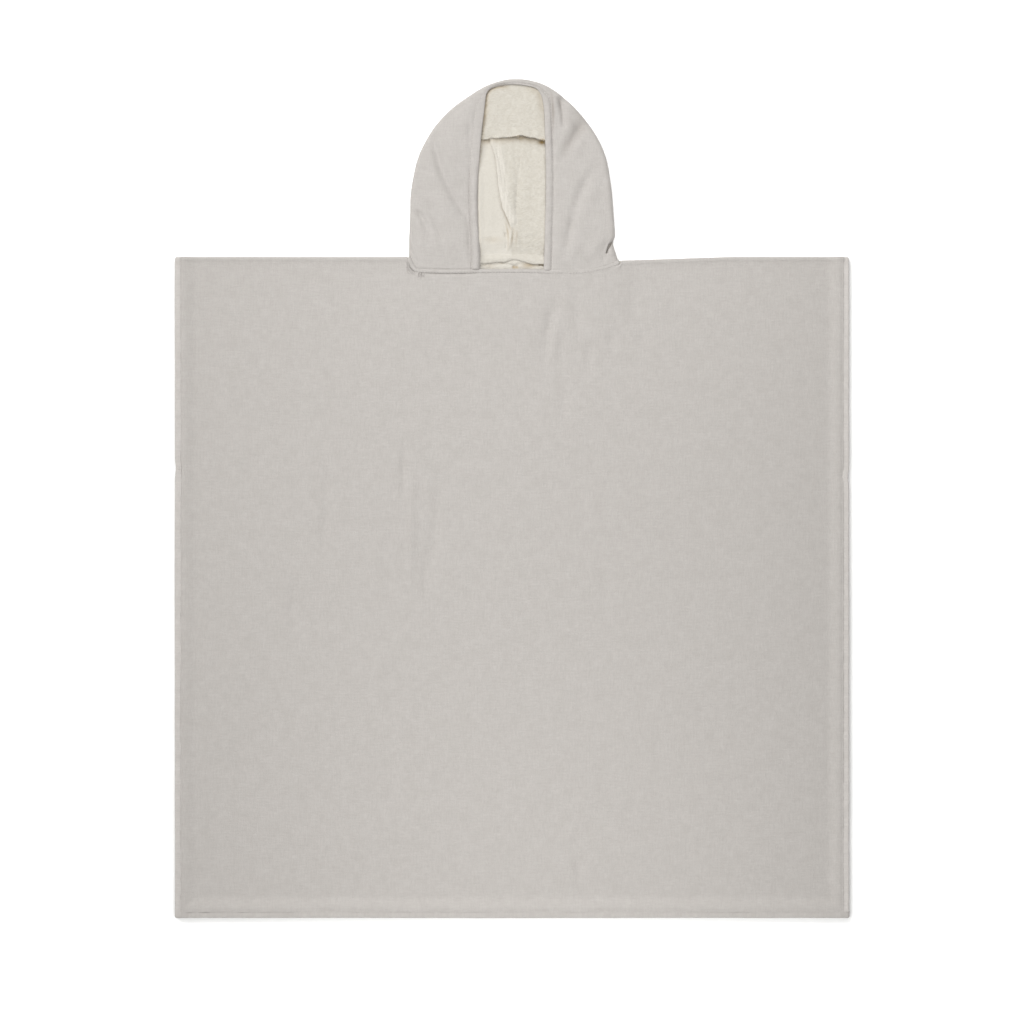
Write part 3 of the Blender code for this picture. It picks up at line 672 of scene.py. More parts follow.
half, bottom, shoulder = body["wide"] / 2, -body["long"], -0.3
inner = half - body["hemWide"]
frontLow, frontHigh = body["hemThick"] + body["gap"], 2 * body["hemThick"] + body["gap"]
hemRuns = dict(  # start, end, outward direction, and which ends have a rounded corner
    Left=((-half, shoulder), (-half, bottom), (-1, 0), (1, 1)),
    Right=((half, shoulder), (half, bottom + 7.6), (1, 0), (1, 0)),
    Bottom=((-inner - 0.3, bottom), (half, bottom), (0, -1), (0, 1)),
)
frontSewn = dict(  # seam from the inner edge, how deep it sinks, lean at the inner and outer edge, puckers
    Left=(hem["sewn"], 1.15, (0.1, -0.5)),
    Right=(hem["sewnRight"], 0.6, (-0.8, 0.9)),
    Bottom=(hem["sewn"], 0.16, (-0.25, 0.8), (
        (10, 2.5, 0.6), (26, 3, 0.9), (31, 2, 0.7), (45, 3, 0.5), (70, 3.5, 0.4), (132, 4, 0.25),
        (250, 5, 0.2), (391, 5, 0.25), (520, 4, 0.2), (660, 5, 0.25), (742, 4, 0.35),
    )),
)
frontHems = [
    addHem("frontHem" + side, run, frontLow, frontHigh, 11 + i, *frontSewn[side])
    for i, (side, run) in enumerate(hemRuns.items())
]
backHems = [
    addHem("backHem" + side, run, 0, body["hemThick"], 14 + i, hem["sewn"])
    for i, (side, run) in enumerate(hemRuns.items())
]


def hemRow(x0, y0, x1, y1, z):
    t = np.linspace(0, 1, 400)[:, None]
    line = (1 - t) * (x0, y0, z) + t * (x1, y1, z)
    if x0 == x1:
        line[:, 0] -= np.sign(x0) * body["tackPull"] * 0.3 * tack(line[:, 0], line[:, 1])
    return line, hem["stitch"], hem["gap"]


def bartack(x, y, outward, z):
    # tight zigzag across the hem, where the side seam starts below the armhole
    t = np.linspace(0, 1, 91)
    swing = 2 * np.abs((t * 15) % 2 - 1) - 1
    return np.column_stack([x + outward * (t * 6.4 - 3.4), y + swing * 1.5, z - 0.6 * np.abs(2 * t - 1) ** 4])


seamX, seamY, seamZ = inner + hem["sewn"], bottom + body["hemWide"] - hem["sewn"], frontHigh - 0.72
hemStitches = addStitches("hemStitches", [
    hemRow(-seamX, -4, -seamX, bottom + 4, seamZ - 0.95),
    hemRow(inner + hem["sewnRight"], -4, inner + hem["sewnRight"], bottom + 9, seamZ - 0.35),
    hemRow(-inner + 2, seamY, half - 5, seamY, seamZ - 0.45),
], hem["threadRadius"])
tacks = [
    addThread("tack" + side, bartack(sign * (half - 4.9), -level, sign, frontHigh - 0.55), 0.3, greyThread)
    for side, sign, level in (("Left", -1, body["armholeLeft"]), ("Right", 1, body["armholeRight"]))
]
print("hems sewn")

# Hood: one piece of cloth, sewn up the centre back and boxed across the crown

hood = dict(
    foldTall=8.8, foldDeep=6.0, crest=1.5, rimTall=9.2, rimCrown=10.2, rimRoll=1.5,
    hemWide=9.5, hemMore=2.2, hemThick=4.2, rimRound=0.75, neckFade=60.0, neckSettle=26.0, neckTop=8.4,
    outline=(  # height above the shoulder line, left x, right x
        (0, -122, 126), (20, -122, 119.7), (27, -121.6, 121.9), (34, -121.3, 121.8), (51, -120.8, 120.5),
        (75, -120, 118.6), (98, -116.3, 115.5), (117, -111.5, 111.5), (136, -103, 104), (155, -91, 92.5),
        (174, -73.5, 77), (190, -52, 60), (202.6, -31, 41.5), (209.3, -11, 22),
    ),
    apex=(211, 5),
    face=(  # edge of the face opening: height, left x, right x
        (0, -37.6, 37.4), (18, -37.6, 38.2), (57, -40, 39.5), (96, -39.6, 40.1), (141, -36.5, 39.1),
        (168, -33.4, 38.2), (184, -31.6, 36.6), (194, -29.6, 33), (200.5, -22, 25.5),
    ),
    faceApex=(204, 2),
    # the pleat at the right neck corner, from the fold's edge down to its tail
    pleat=((121, 20, 116.4, 15, 113.6, 9.5, 1.5, 1.0), (115.8, 13.5, 112.4, 8, 111.4, -1, 1.15, 0.52)),
    pleatBottom=3.6,
    folds=(
        (-95, 150, -86, 88, -50, 43, 5, -3.2), (-100, 128, -92, 76, -62, 46, 8, 1.3),
        (-115, 57, -109, 50, -95, 28, 3.4, -2.2), (-108, 44, -100, 34, -99, 12, 4.6, -1.6),
        (-117, 46, -110, 40, -101, 20, 4, 0.6), (-99, 62, -92, 44, -81, 12, 4.6, -2.3),
        (-112, 103, -106, 103, -99, 101, 3, -0.9), (-68, 148, -62, 140, -55, 133, 7, -0.8),
        (-51, 160, -50, 146, -51, 128, 3, -1), (-57, 178, -52, 172, -47, 160, 7, 0.6),
        (55, 196, 60, 180, 61, 154, 3, -3.8), (50, 192, 51, 172, 51, 150, 2.6, 1.3),
        (78, 184, 84, 172, 92, 158, 12, -2), (92, 162, 77, 152, 62, 118, 6.4, -3.6),
        (84, 160, 78, 158, 72, 150, 6, -1.4), (82, 144, 76, 134, 70, 122, 4, 0.8),
        (90, 142, 84, 138, 76, 122, 6, 0.8), (90, 144, 87, 138, 86, 126, 4.5, -0.6),
        (99, 107, 75, 76, 63, 1, 6, -2.2), (74, 50, 68, 32, 64, 8, 3.6, -1.7),
        (106, 100, 88, 64, 76, 4, 8, 0.6), (79, 8, 77, -2, 75, -10, 4, -0.7),
        (121, 12, 118, 6, 116, -2, 3, 0.9), (117, 25, 109.5, 12, 109, -2, 4.6, -1.5),
        (104, 26, 98, 12, 96, -6, 5, 0.6), (109, 2, 108.5, -3, 109, -9, 2, -0.8),
        (-120, 8, -115, -3, -109, -10, 2.2, -1.3), (-110, 4, -106, -4, -103, -10, 2.2, 0.5),
    ),
    shades=(  # creases so tight that little light gets in, the last value being how much of it is lost
        (55, 194, 57.5, 180, 59, 160, 2, 0.16), (88, 160, 74, 150, 60, 120, 6.5, 0.17),
        (72, 190, 84, 172, 92, 158, 14, 0.1), (46, 196, 50, 184, 48.5, 146, 1.7, 0.3),
        (42, 196, 46, 184, 45, 160, 5, 0.07),
    ),
)


def arch(table, apex):
    # up the left column, over the apex and down the right one, halved at the apex
    rows = np.array(table, float)
    line = smoothLine(np.vstack([rows[:, 1::-1], (apex[1], apex[0]), rows[::-1, 2::-2]]), 16)
    top = len(rows) * 16
    return line[: top + 1], line[top:][::-1]


def hoodLines(heights, shares):
    # the outline and the face edge at matching places, from the left neck corner over to the right one
    outline, face = arch(hood["outline"], hood["apex"]), arch(hood["face"], hood["faceApex"])
    length = arcLength(outline[0])
    sides = np.interp(heights, outline[0][:, 1], length / length[-1])

    def whole(left, right):
        start, end = atShare(left, sides[-1]), atShare(right, sides[-1])
        crown = np.vstack([start, left[left[:, 1] > start[1]], right[right[:, 1] > end[1]][::-1][1:], end])
        return np.vstack([atShare(left, sides), atShare(crown, shares[1:-1]), atShare(right, sides)[::-1]])

    return whole(*outline), whole(*face)


def hoodFrontTop(x, y, height, fromRim, wide, hemWide):
    # a rolled hem, a low crest, down to the fold, settling at the neck seam
    across = np.clip((fromRim - hemWide) / np.maximum(wide - hemWide, 0.1), 0, 1)
    roomy = ease((wide - 12) / 36)
    onRight = ease(x / 20)
    onLeft = 1 - onRight
    tall = hood["rimTall"] + (hood["rimCrown"] - hood["rimTall"]) * ease((height - 110) / 70)
    fold = hood["foldTall"] + 0.9 * onRight * roomy
    rim = fold + (tall - fold) * roomy - 0.7 * onLeft * roomy * ease((120 - height) / 60)
    cloth = rim + (fold - rim) * across + hood["crest"] * (1 - 0.5 * onRight) * roomy * np.sin(np.pi * across)
    onHem = np.clip(fromRim / hemWide, 0, 1)
    roll = (np.sin(np.pi * onHem**0.8) ** 0.8 - 0.35) * (fromRim < hemWide) * (0.35 + 0.65 * roomy)
    roll = hood["rimRoll"] * roll * (2.1 * ease((150 - height) / 60) * onLeft + 0.6 + 0.4 * onRight)
    trough = 1.2 * bell(fromRim - hemWide - 1, 2.6) * onLeft * ease((110 - height) / 60) * ease(height / 20)
    # at the top, left of the middle, the narrow rim leans down into the opening
    lean = 3.6 * (1 - roomy) * (1 - np.clip(fromRim / np.maximum(wide, 1), 0, 1)) ** 1.3
    lean = lean * (0.2 + 0.8 * bell(x + 13, 13))
    groove = 0.9 * (0.3 + 0.7 * roomy) * bell(fromRim - hemWide, 1.25) * (0.35 + 0.4 * onRight)
    groove = groove + trough + 0.8 * onRight * ease((height - 120) / 40) * bell(fromRim - hemWide, 1.6)
    settled = np.where(fromRim < hemWide, hood["rimTall"] - 0.9, hood["neckTop"])
    nearNeck = 1 - ease(height / hood["neckSettle"])
    creased = foldHeights(x, y, hood["folds"]) * ease((fromRim - hemWide) / 3) * (1 - 0.4 * nearNeck)
    drape = 0.5 * cloudNoise(x, y, 34, 21) + 0.28 * cloudNoise(x, y, 15, 22)
    drape = drape * ease((fromRim - hemWide) / 8) * ease((wide - fromRim) / 8)
    puckers = 0.3 * cloudNoise(height + x * 0.3, fromRim, 4.2, 23) * (fromRim < hemWide + 4)
    smooth = cloth * (1 - nearNeck) + settled * nearNeck + creased + drape
    tucked = 0.9 * bell(height, 1.3) * (0.1 + 0.9 * ease((40 - x) / 60))
    return smooth, smooth + roll + puckers * (0.4 + 0.6 * roomy) - groove - lean - tucked


def pleatShare(x, y):
    # 1 along the bottom of the pleat, 0 outside it
    return ease(2.2 * foldHeights(x, y, hood["pleat"]) - 0.5)


def pressedTo(level, z, share):
    return np.where(z > level, level + (z - level) * (1 - share), z)


def intoFace(x, y):
    # distance in from the edge of the face opening; less than 0 under the rim
    left, right = arch(hood["face"], hood["faceApex"])
    line = np.vstack([left, right])[::2]
    near = np.hypot(x[..., None] - line[:, 0], y[..., None] - line[:, 1]).min(axis=-1)
    within = (x > np.interp(y, left[:, 1], left[:, 0])) & (x < np.interp(y, right[:, 1], right[:, 0]))
    return np.where(within & (y < hood["faceApex"][0]), near, -near)


def sidesOf(x, y):
    # how far to the right and how high up a place inside the hood is
    return ease((x + 14) / 14), ease((y - 90) / 70)


def besideFlap(x, y, column=1):
    # distance to the right of the centre allowance's free edge, or of its seam
    return x - readTable(inside["centre"], y, column)


def aboveCrown(x, y):
    return y - readTable(inside["crownEdge"], x)


def sinkByRim(x, y):
    # how far the inner cloth drops before it goes under the rim: steeply at the upper left, hardly at all
    # at the lower left, softly on the right
    onRight, high = sidesOf(x, y)
    deep = (0.4 + 3.8 * high) * (1 - onRight) + (0.4 + 1.4 * ease((y - 150) / 30)) * onRight
    reach = (0.7 + 1.8 * high) * (1 - onRight) + (2.5 + 4.5 * high) * onRight
    return deep * (1 - ease((intoFace(x, y) + 0.6) / (reach + 0.6)))


def paintedShadeAt(x, y):
    # painted shade: 0 on open cloth, up to 1 in the crevices along the rim, under the crown allowance and
    # beside the centre
    onRight, high = sidesOf(x, y)
    atCorner = ease((y - 160) / 20) * ease((x - 12) / 12)
    much = (0.08 + 0.42 * high) * (1 - onRight) + (0.03 + 0.16 * atCorner) * onRight
    reach = (1.5 + 1.3 * high) * (1 - onRight) + (2.0 + 4.0 * high) * onRight
    rim = much * bell(np.maximum(intoFace(x, y), 0), reach)
    above, beside = aboveCrown(x, y), besideFlap(x, y)
    under = (0.36 + 0.2 * ease((x + 32) / 14) - 0.2 * ease((x - 10) / 8)) * bell(above, 5.5) * (above < 0.3)
    seam = (0.3 - 0.25 * ease((y - 36) / 40)) * bell(beside + 0.3, 1.4)
    seam = seam * (beside < 0.6) * ease((y - 26) / 10) * (above < 0)
    # painted shade in two pits under the crown's edge, a wedge and a hollow low down: x, y, reach across and
    # up, how much
    spots = (
        (35.5, 136.5, 4.5, 2.6, 1), (-25, 138, 2.4, 2, 0.5), (-7, 25, 2.4, 6, 0.08), (-22, 20, 11, 4, 0.14),
    )
    hollows = [most * bell(x - i, wide) * bell(y - j, tall) for i, j, wide, tall, most in spots]
    return np.clip(np.max([rim, under, seam, foldHeights(x, y, inside["twistShades"]), *hollows], axis=0), 0, 1)


def pressedAt(x, y):
    # left of the centre allowance the loops are pressed smooth
    return 0.45 * ease((2 - besideFlap(x, y)) / 5) * ease(-aboveCrown(x, y) / 4)


def paintedLightAt(x, y, flap=0.0):
    # painted light, paler: all that lies left of the centre allowance, most of all low down, and its own left
    # half
    beside = besideFlap(x, y)
    left = (0.25 + 0.15 * ease((44 - y) / 34)) * ease((2 - beside) / 3) * ease(-aboveCrown(x, y) / 4)
    streaks = 0.75 + 0.45 * cloudNoise(x * 3, y * 0.25, 4.4, 81)
    onFlap = flap * 0.6 * ease((15 - beside) / 8) * streaks
    return np.clip(left * (1 - flap) + onFlap + 0.05 * ease((14 - y) / 10), 0, 1)


def crownTop(x, y):
    # the crown's inner face, which runs on down as the seam allowance to a free edge that stands open to
    # the right
    above = aboveCrown(x, y)
    edge = 6.3 + 1.3 * ease((x + 30) / 24) + 0.3 * np.sin(x / 5.5)
    high = 6.2 + 0.9 * ease((above - 8) / 40)
    flat = body["cloth"] + 0.9
    lie = high + (edge - high) * ease((13 - above) / 13) - flat
    ripple = 0.35 * cloudNoise(x, y * 0.8, 13, 53) + 0.5 * cloudNoise(x, y, 6, 55) * ease((16 - above) / 14)
    loops = 0.16 * cloudNoise(x * 0.5, y, 1.9, 54)
    return flat + np.maximum(lie + ripple + loops - sinkByRim(x, y), -0.6) * ease((46 - np.abs(x)) / 6)


def insideTop(x, y):
    # the hood's inner face: deep under the crown allowance, rising from there down to the neck seam
    above = aboveCrown(x, y)
    hollow = ease((-above + 1) / (9 + 8 * ease((x + 26) / 14)))
    floor = 1.3 - 2.2 * ease((x + 30) / 12)
    lower = floor + (2.5 - floor + 0.6 * ease((-above - 6) / 40) + 0.9 * ease((x + 40) / 24)) * hollow
    # pits under both ends of the crown allowance's free edge
    lower = lower - 1.5 * bell(x - 36, 4.5) * bell(above + 3, 3.6)
    lower = lower - 1.3 * bell(x + 26.5, 2.2) * bell(above + 2, 2.2)
    # low down, the left side lies up against the rim
    lower = lower + (2.2 * ease((-14 - x) / 24) + 1.1 * ease((-32 - x) / 7)) * ease((124 - y) / 40)
    # the right half lies over the left one along the seam
    lower = lower + 0.7 * ease((besideFlap(x, y, 2) + 4) / 8) * ease((y - 20) / 16) * hollow
    lower = lower + 1.0 * ease((x - 24) / 16) * hollow
    lower = lower * ease((y + 2) / 24) + 0.7 * (1 - ease((y + 2) / 24))
    ripple = 0.3 * cloudNoise(x, y, 17, 31) + 0.15 * cloudNoise(x, y * 2, 8, 32)
    # smooth to the left of the centre seam, looped in fine rows to its right
    loops = cloudNoise(x * 0.5, y, 1.9, 33) + 0.6 * cloudNoise(x, y, 3.1, 34)
    loops = (0.02 + 0.15 * ease((x + 6) / 10)) * loops
    # a shallow groove beside the centre allowance's free edge
    groove = (0.7 - 0.4 * ease((y - 60) / 30)) * bell(besideFlap(x, y) + 0.8, 1.5)
    groove = groove * ease((y - 30) / 10) * hollow
    lower = lower + ripple + loops + foldHeights(x, y, inside["ridges"]) - groove - sinkByRim(x, y)
    low = body["cloth"] + np.maximum(lower, -1.9) * ease((44 - np.abs(x)) / 5)
    return np.where(above > 8, crownTop(x, y) * ease((above - 8) / 5) + low * ease((13 - above) / 5), low)


def makeHood():
    heights = np.concatenate([np.linspace(0, 30, 38), np.linspace(31.4, 201, 116)])
    shares = [np.linspace(*part) for part in ((0, 0.31, 11), (0.322, 0.678, 78), (0.69, 1, 11))]
    shares = np.concatenate(shares)
    outline, face = hoodLines(heights, shares)
    height = np.concatenate([heights, np.full(len(shares) - 2, heights[-1]), heights[::-1]])[:, None]
    wide = np.linalg.norm(outline - face, axis=1)[:, None]
    direction = (outline - face) / wide
    fold = np.minimum(hood["foldDeep"], 0.5 * wide)
    flat = wide - fold
    hemWide = np.minimum(hood["hemWide"] + hood["hemMore"] * ease((-20 - face[:, :1]) / 12), 0.62 * flat)
    onHem = np.array([0, 0.012, 0.05, 0.11, 0.18, 0.3, 0.43, 0.56, 0.68, 0.79, 0.88, 0.95])
    pastHem = np.array([0, 0.6, 1.3, 2.3, 3.6]) * hemWide / hood["hemWide"]
    steps = 1 - np.linspace(1, 0, 37)[1:] ** 1.3
    start = hemWide + pastHem[:, -1:]
    fromRim = np.hstack([onHem * hemWide, hemWide + pastHem, start + (flat - start) * steps])
    neckFade = 1 - ease(height / hood["neckFade"])

    def plan(distance, inFront):
        # places this far from the face edge, drawn down to the band in front and the neck seam behind
        points = face[:, None, :] + direction[:, None, :] * distance[..., None]
        x, y = points[..., 0], points[..., 1]
        lift = body["gap"] / 2 * neckFade
        down = shoulderY(x) + inFront * (edgeByBand(x, 1) - shoulderY(x) - body["gap"] / 2)
        return x, y + lift + down * neckFade

    x, y = plan(fromRim, 1)
    smooth, top = hoodFrontTop(x, y, height, fromRim, flat, hemWide)
    level, pleat, bottom = top[:, -1:], pleatShare(x, y), hood["pleatBottom"]
    smooth, top = pressedTo(bottom, smooth, pleat), pressedTo(bottom, top, pleat)
    thick = body["cloth"] + (hood["hemThick"] - body["cloth"]) * ease((hemWide + 1 - fromRim) / 1.5)
    under = np.maximum(np.minimum(smooth, top) - np.minimum(thick, 0.45 * top), bottom - 0.5)
    # the rim's own edge is round: outer and inner faces meet half way down it
    lowLeft = (face[:, :1] < 0) * ease((140 - height) / 60)
    edge = np.clip(fromRim / np.minimum(hood["rimRound"] + 1.5 * lowLeft, 0.4 * hemWide), 0, 1)
    middle = (top + under) / 2
    roundOff = np.sqrt(np.clip(1 - (1 - edge) ** 2, 0.02 + 0.3 * lowLeft, 1))
    angle = np.linspace(0, np.pi, 15)[1:]
    inFront = (angle < np.pi / 2 + 0.01).astype(float)

    def ring(flatZ, depth, high, low):
        # the front's points, then half an ellipse from the front's edge round to the back
        foldX, foldY = plan(flat + depth * np.sin(angle) ** 0.9, inFront)
        foldZ = (high + low) / 2 + (high - low) / 2 * np.cos(angle)
        foldZ = pressedTo(bottom - 0.2 * low, foldZ, pleatShare(foldX, foldY))
        parts = ((x, y, middle + (flatZ - middle) * roundOff), (foldX, foldY, foldZ))
        return np.concatenate([np.stack(part, axis=-1) for part in parts], axis=1)

    ringOuter = ring(top, fold, level, 0 * level)
    innerDepth = np.maximum(fold - body["cloth"], 0.3 * fold)
    ringInner = ring(under, innerDepth, level - body["cloth"], 0 * level + body["cloth"])
    around, across = ringOuter.shape[:2]

    rows, columns = len(heights), len(shares)
    left, right = ringOuter[:rows, -1], ringOuter[-rows:, -1][::-1]
    crown = ringOuter[rows - 1 : rows + columns - 1, -1]
    bow = ease((heights[:-1] - 110) / 91)[:, None] * (crown[1:-1, 1] - left[-1, 1])[None]
    share = shares[1:-1]
    backX, backY = (left[:-1, k : k + 1] * (1 - share) + right[:-1, k : k + 1] * share for k in (0, 1))
    backX, backY = backX.ravel(), (backY + bow).ravel()
    back = twoFaces(backX, backY, 0 * backX, insideTop(backX, backY))
    backOuter, backInner = back[: len(backX)], back[len(backX) :]

    # the back's own points, framed by the last ones of the ring
    index = np.zeros((rows, columns), int)
    lastRing = np.arange(around) * across + across - 1
    index[:, 0] = lastRing[:rows]
    index[:, -1] = lastRing[-rows:][::-1]
    index[-1] = lastRing[rows - 1 : rows + columns - 1]
    index[:-1, 1:-1] = around * across + np.arange((rows - 1) * (columns - 2)).reshape(rows - 1, -1)
    backQuads = np.stack([index[:-1, :-1], index[1:, :-1], index[1:, 1:], index[:-1, 1:]], axis=-1)
    backQuads = backQuads.reshape(-1, 4)
    quads = np.vstack([gridFaces(around, across), backQuads])
    faces, slots = wallFaces(around * across + len(backX), quads)
    points = np.vstack([ringOuter.reshape(-1, 3), backOuter, ringInner.reshape(-1, 3), backInner])

    # pattern places follow the cloth: plan place at the face edge, then arc length outwards; on the back they
    # are plain plan places, also where its quads share points with the fold
    ringUv = ringOuter[:, :1, :2] + direction[:, None, :] * arcLength(ringOuter, 1)[..., None]
    uv = np.vstack([ringUv.reshape(-1, 2), backOuter[:, :2]] * 2)
    ofBack = np.arange(len(faces)) % len(quads) >= len(quads) - len(backQuads)
    ofBack &= np.arange(len(faces)) < 2 * len(quads)
    corner = faces.ravel()
    uv = np.where(np.repeat(ofBack, 4)[:, None], points[corner, :2], uv[corner])
    # painted shade down the pleat and in the tightest creases
    shade = 0.4 * pleatShare(ringOuter[..., 0], ringOuter[..., 1])
    shade = np.clip(shade + foldHeights(ringOuter[..., 0], ringOuter[..., 1], hood["shades"]), 0, 1).ravel()
    clear = np.zeros(len(backX) + len(shade))
    # inside: painted shade in its crevices, pressed loops, and painted light where it is drawn paler
    marks = dict(
        paintedShade=np.concatenate([shade, clear, paintedShadeAt(backX, backY)]),
        pressed=np.concatenate([0 * shade, clear, pressedAt(backX, backY)]),
        lift=np.concatenate([0 * shade, clear, paintedLightAt(backX, backY)]),
    )
    piece = addPiece("hoodCloth", points, faces, [greyWeave, ecruLoops], uv, slots, marks)
    # a line on the front at this share of the hem's width, read off the finished surface
    rimLine = [
        readLine(ringOuter[i, : fromRim.shape[1]], fromRim[i], 0.93 * hemWide[i, 0])
        for i in range(2, around - 2)
    ]
    return piece, np.array(rimLine)


hoodPiece, rimLine = makeHood()
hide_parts("hood")
print("hood made")
rimStitches = addStitches("rimStitches", [(rimLine + (0, 0, 0.05), 2.6, 0.9)], 0.24)
print("rim stitched")

# Neck band: a narrow strip, topstitched over the seam between the hood and the front panel


def bandSunk(x):
    # it lies lower towards the right neck corner, and its end goes under the shoulder's cloth
    return 0.1 * ease((x - 20) / 40) + 0.35 * ease((x - 112) / 12)


def makeNeckBand():
    # a rounded section carried along the neckline, boxier on the right, so that its edges show less there
    line = atShare(neckline, np.linspace(0, 1, 210))
    along = arcLength(line)[:, None]
    share = np.linspace(0, 1, 20, endpoint=False)[None]
    c, s = np.cos(2 * np.pi * share), np.sin(2 * np.pi * share)
    aside = band["wide"] / 2 * np.sign(c) * np.abs(c) ** 0.85
    tall, middle = (band["top"] - band["bottom"]) / 2, (band["top"] + band["bottom"]) / 2
    uneven = 0.28 * cloudNoise(along, aside, 4.5, 41)
    uneven = uneven + 0.2 * np.cos(2 * np.pi * along / 3.5) * bell(aside + 1.4, 0.8)
    fromEnd = np.minimum(along, along[-1] - along)
    ends = np.sqrt(np.clip(1 - np.clip(1 - fromEnd / 1.5, 0, 1) ** 2, 0.05, 1))
    boxy = 0.85 - 0.5 * ease((line[:, :1] - 20) / 40)
    up = middle + tall * ends * np.sign(s) * np.abs(s) ** boxy + uneven * (s > 0.2) - bandSunk(line[:, :1])
    plan = np.stack([movedAside(line, distance) for distance in aside[0]], axis=1)
    points = np.concatenate([plan, up[..., None]], axis=-1)
    uv = np.stack(np.broadcast_arrays(along, share * 16), axis=-1)
    faces = tubeFaces(len(line), 20, flip=True)
    return addPiece("neckBand", points, faces, [bandWeave], uv)


bandPiece = makeNeckBand()
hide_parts("neck_band")
bandLine = atShare(neckline, np.linspace(0.01, 0.99, 300))
bandRow = np.column_stack([movedAside(bandLine, -1.5), band["top"] - 0.25 - bandSunk(bandLine[:, 0])])
bandStitches = addStitches("bandStitches", [(bandRow, 2.5, 1.0)], 0.24)
print("neck band sewn")

# Seam allowances that show inside the hood


def addAllowance(name, x, y, z, thick, rounded, marks):
    # a closed strip: the grid moved half its thickness both ways, thinner within this distance of its edges
    grid = np.stack([x, y, z], axis=-1)[::-1]
    along, across = arcLength(grid, 0), arcLength(grid, 1)
    edge = np.min([along, along[-1:] - along, across, across[:, -1:] - across], axis=0)
    taper = np.sqrt(np.clip(1 - (1 - np.clip(edge / rounded, 0, 1)) ** 2, 0.04, 1))
    normal = np.cross(np.gradient(grid, axis=0), np.gradient(grid, axis=1))
    offset = normal / np.linalg.norm(normal, axis=-1)[..., None] * (thick / 2 * taper)[..., None]
    faces, _ = wallFaces(x.size, gridFaces(*x.shape))
    uv = np.vstack([grid[..., :2].reshape(-1, 2)] * 2)
    marks = {mark: [values[::-1]] * 2 for mark, values in marks.items()}
    return addPiece(name, np.stack([grid + offset, grid - offset]), faces, [ecruLoops], uv, marks=marks), grid


def crownFlap():
    # the crown seam's allowance: flush with the crown's inner face, then on to its free edge
    x = np.linspace(*inside["crownReach"], 200)[:, None]
    out = np.linspace(0, 1, 22)[None]
    edge = readTable(inside["crownEdge"], x)
    edge = edge + 0.5 * cloudNoise(x, x * 0, 6, 51) + 0.45 * cloudNoise(x, x * 0, 2.4, 52)
    x = x + 0 * out
    y = edge + inside["crownDeep"] * (1 - out)
    z = crownTop(x, y) - inside["crownThick"] / 2 + 0.06
    # painted shade at its free edge and by the rim
    return addAllowance("crownAllowance", x, y, z, inside["crownThick"], 0.8, dict(paintedShade=paintedShadeAt(x, y)))


def centreFlap():
    # the centre-back allowance: turned to the left, wide under the crown and twisted shut towards the neck
    y = np.linspace(32, 147, 130)[:, None]
    out = np.linspace(0, 1, 31)[None]
    free = readTable(inside["centre"], y, 1) + 0.3 * cloudNoise(y, y * 0, 8, 61)
    seam = readTable(inside["centre"], y, 2) + 3
    y = y + 0 * out
    x = seam + (free - seam) * out
    ends = ease((y - 31) / 12) * (1 - 0.4 * ease((y - 128) / 16))
    # its top is flush with the cloth on the seam side and stands clear of it at the free edge
    away = ease(out / 0.35)
    rest = insideTop(seam + 0 * out, y) * (1 - out) + insideTop(free - 3 + 0 * out, y) * out
    rest = rest + (1.9 - 0.9 * ease((y - 60) / 40)) * ease(out / 0.5) * ends - 0.6 * (1 - ends)
    rest = rest + foldHeights(x, y, inside["flapFolds"]) + 0.1 * cloudNoise(x * 0.5, y, 1.9, 62)
    z = (insideTop(x, y) + 0.04) * (1 - away) + rest * away - 0.65
    # painted shade in its crevices, at half strength, and painted light on its left half
    marks = dict(paintedShade=0.5 * paintedShadeAt(x, y), lift=paintedLightAt(x, y, 1.0))
    return addAllowance("centreAllowance", x, y, z, 1.3, 0.9, marks)


def neckFlap():
    # the back-neck allowance: overlocked, lying down towards the body
    x = np.linspace(-100, 104, 190)[:, None]
    out = np.linspace(0, 1, 13)[None]
    edge = readTable(inside["neckEdge"], x) + 0.3 * cloudNoise(x, x * 0, 5, 71)
    x = x + 0 * out
    visible = ease((45 - np.abs(x)) / 6)
    seamY = 5.0 + shoulderY(x) * 0.4
    y = seamY + (edge - seamY) * out
    # flush with the hood's inner face at the seam, then arched over the body's cloth
    rise = 0.9 + 1.5 * np.sin(np.pi * np.clip(out * 0.8, 0, 1)) + (0.3 - 0.9 * ease((18 - x) / 12)) * out
    rise = rise * visible + 0.6 + 0.3 * cloudNoise(x, y * 0.5, 6, 72) * visible
    away = ease(out * 1.6)
    z = (insideTop(x, y) + 0.04) * (1 - away) + (body["cloth"] + 0.5 + rise) * away - 0.6
    # painted shade in crevices and painted light near the seam; towards the free edge the white overlock
    # threads make it paler, their own colour
    lift = paintedLightAt(x, y)
    marks = dict(paintedShade=0.6 * paintedShadeAt(x, y), lift=lift + (0.15 - lift) * ease((6.0 - y) / 8))
    return addAllowance("neckAllowance", x, y, z, 1.2, 0.7, marks)


crownPiece, crownGrid = crownFlap()
centrePiece, centreGrid = centreFlap()
neckPiece, neckGrid = neckFlap()


def overlock(grid, pitch, reach, lift, first):
    # zigzag over the free edge: out to the edge, round it, and back in by "reach"
    length = arcLength(grid[:, -1])
    turns = int((1 - 2 * first) * length[-1] / pitch)
    at = np.linspace(first, 1 - first, turns * 8 + 1) * length[-1]
    swing = 0.5 + 0.5 * np.cos(np.arange(turns * 8 + 1) * np.pi / 4)
    inward = grid[:, 0] - grid[:, -1]
    inward /= np.linalg.norm(inward, axis=1)[:, None]
    over = readLine(grid[:, -1], length, at) + readLine(inward, length, at) * (reach * swing)[:, None]
    over[:, 2] += lift * np.sin(np.pi * np.clip(swing * 0.9 + 0.1, 0, 1)) ** 0.4 - 0.2 * (1 - swing)
    return over


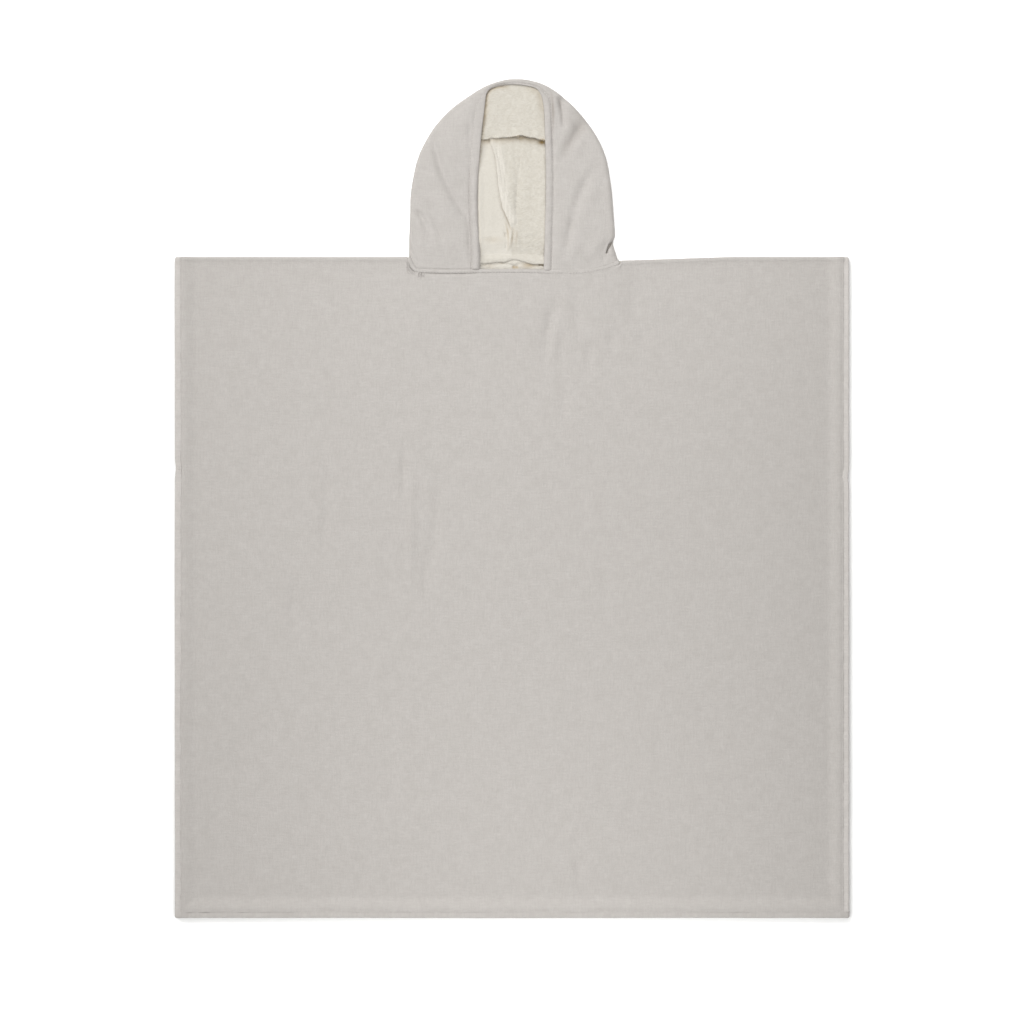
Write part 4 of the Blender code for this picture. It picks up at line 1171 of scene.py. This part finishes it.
overlocks = [
    addThread(name + "Overlock", overlock(grid, pitch, reach, lift, first), radius, ecruThread, 5)
    for name, grid, pitch, reach, lift, first, radius in (
        ("crown", crownGrid, 2.6, 4.2, inside["crownThick"] / 2 + 0.12, 0.27, 0.13),
        ("centre", centreGrid[::-1], 2.6, 3.6, 0.72, 0.03, 0.12),
        ("neck", neckGrid, 2.2, 4.6, 0.75, 0.27, 0.2),
    )
]
print("seam allowances made")

# Table, light and camera

stage = dict(
    floor="#F9F9F8", grain="#F6F6F5", glow=0.08, dome=0.5,
    camera=3.4, across=1.2163, centreY=-0.0161, sensor=36,
    lamps=(  # name, x, y, z, size, power, in metres and watts
        ("keyLight", -3.0, 3.1, 2.9, 3.0, 165.0),
        ("lowLight", 0.05, -0.6, 0.7, 0.5, 3.04),
        ("highLight", 0.1, 0.6, 1.0, 0.7, 7.5),
        ("middleLight", -0.25, 0.0, 0.9, 0.6, 1.6),
    ),
)


def addObject(name, data, place=(0, 0, 0)):
    thing = bpy.data.objects.new(name, data)
    thing.location = place
    bpy.context.scene.collection.objects.link(thing)
    return thing


def makeStage():
    mesh = bpy.data.meshes.new("table")
    mesh.from_pydata([(-8, -8, 0), (8, -8, 0), (8, 8, 0), (-8, 8, 0)], [], [(0, 1, 2, 3)])
    material = bpy.data.materials.new("mattWhiteBoard")
    material.use_nodes = True
    tree = material.node_tree
    shader = tree.nodes["Principled BSDF"]
    place = addNode(tree, "ShaderNodeTexCoord").outputs["Object"]
    grain = addNode(tree, "ShaderNodeTexNoise", dict(Scale=40.0, Detail=2.0), {"Vector": place}).outputs[0]
    tree.links.new(mixed(tree, grain, stage["floor"], stage["grain"]), shader.inputs["Base Color"])
    shader.inputs["Roughness"].default_value = 0.9
    # a light table: some light comes up through it, so that shadows on it stay pale
    shader.inputs["Emission Color"].default_value = (1, 1, 1, 1)
    shader.inputs["Emission Strength"].default_value = stage["glow"]
    mesh.materials.append(material)
    addObject("table", mesh)

    world = bpy.data.worlds.new("studio")
    bpy.context.scene.world = world
    world.use_nodes = True
    background = world.node_tree.nodes["Background"]
    background.inputs[0].default_value = (1, 1, 1, 1)
    background.inputs[1].default_value = stage["dome"]
    for name, x, y, z, size, power in stage["lamps"]:
        lamp = bpy.data.lights.new(name, "AREA")
        lamp.shape, lamp.size, lamp.energy = "DISK", size, power
        light = addObject(name, lamp, (x, y, z))
        light.rotation_mode = "QUATERNION"
        # all of them look straight down, except the large one at the upper left
        aim = Vector((0, 0.1, 0)) if name == "keyLight" else Vector((x, y, 0))
        light.rotation_quaternion = (aim - light.location).to_track_quat("-Z", "Y")
        light.visible_camera = False

    lens = bpy.data.cameras.new("camera")
    lens.sensor_width = stage["sensor"]
    lens.lens = stage["sensor"] * stage["camera"] / stage["across"]
    lens.clip_end = 50
    bpy.context.scene.camera = addObject("camera", lens, (0, stage["centreY"], stage["camera"]))
    bpy.context.scene.view_settings.view_transform = "Standard"


makeStage()
print("stage set")
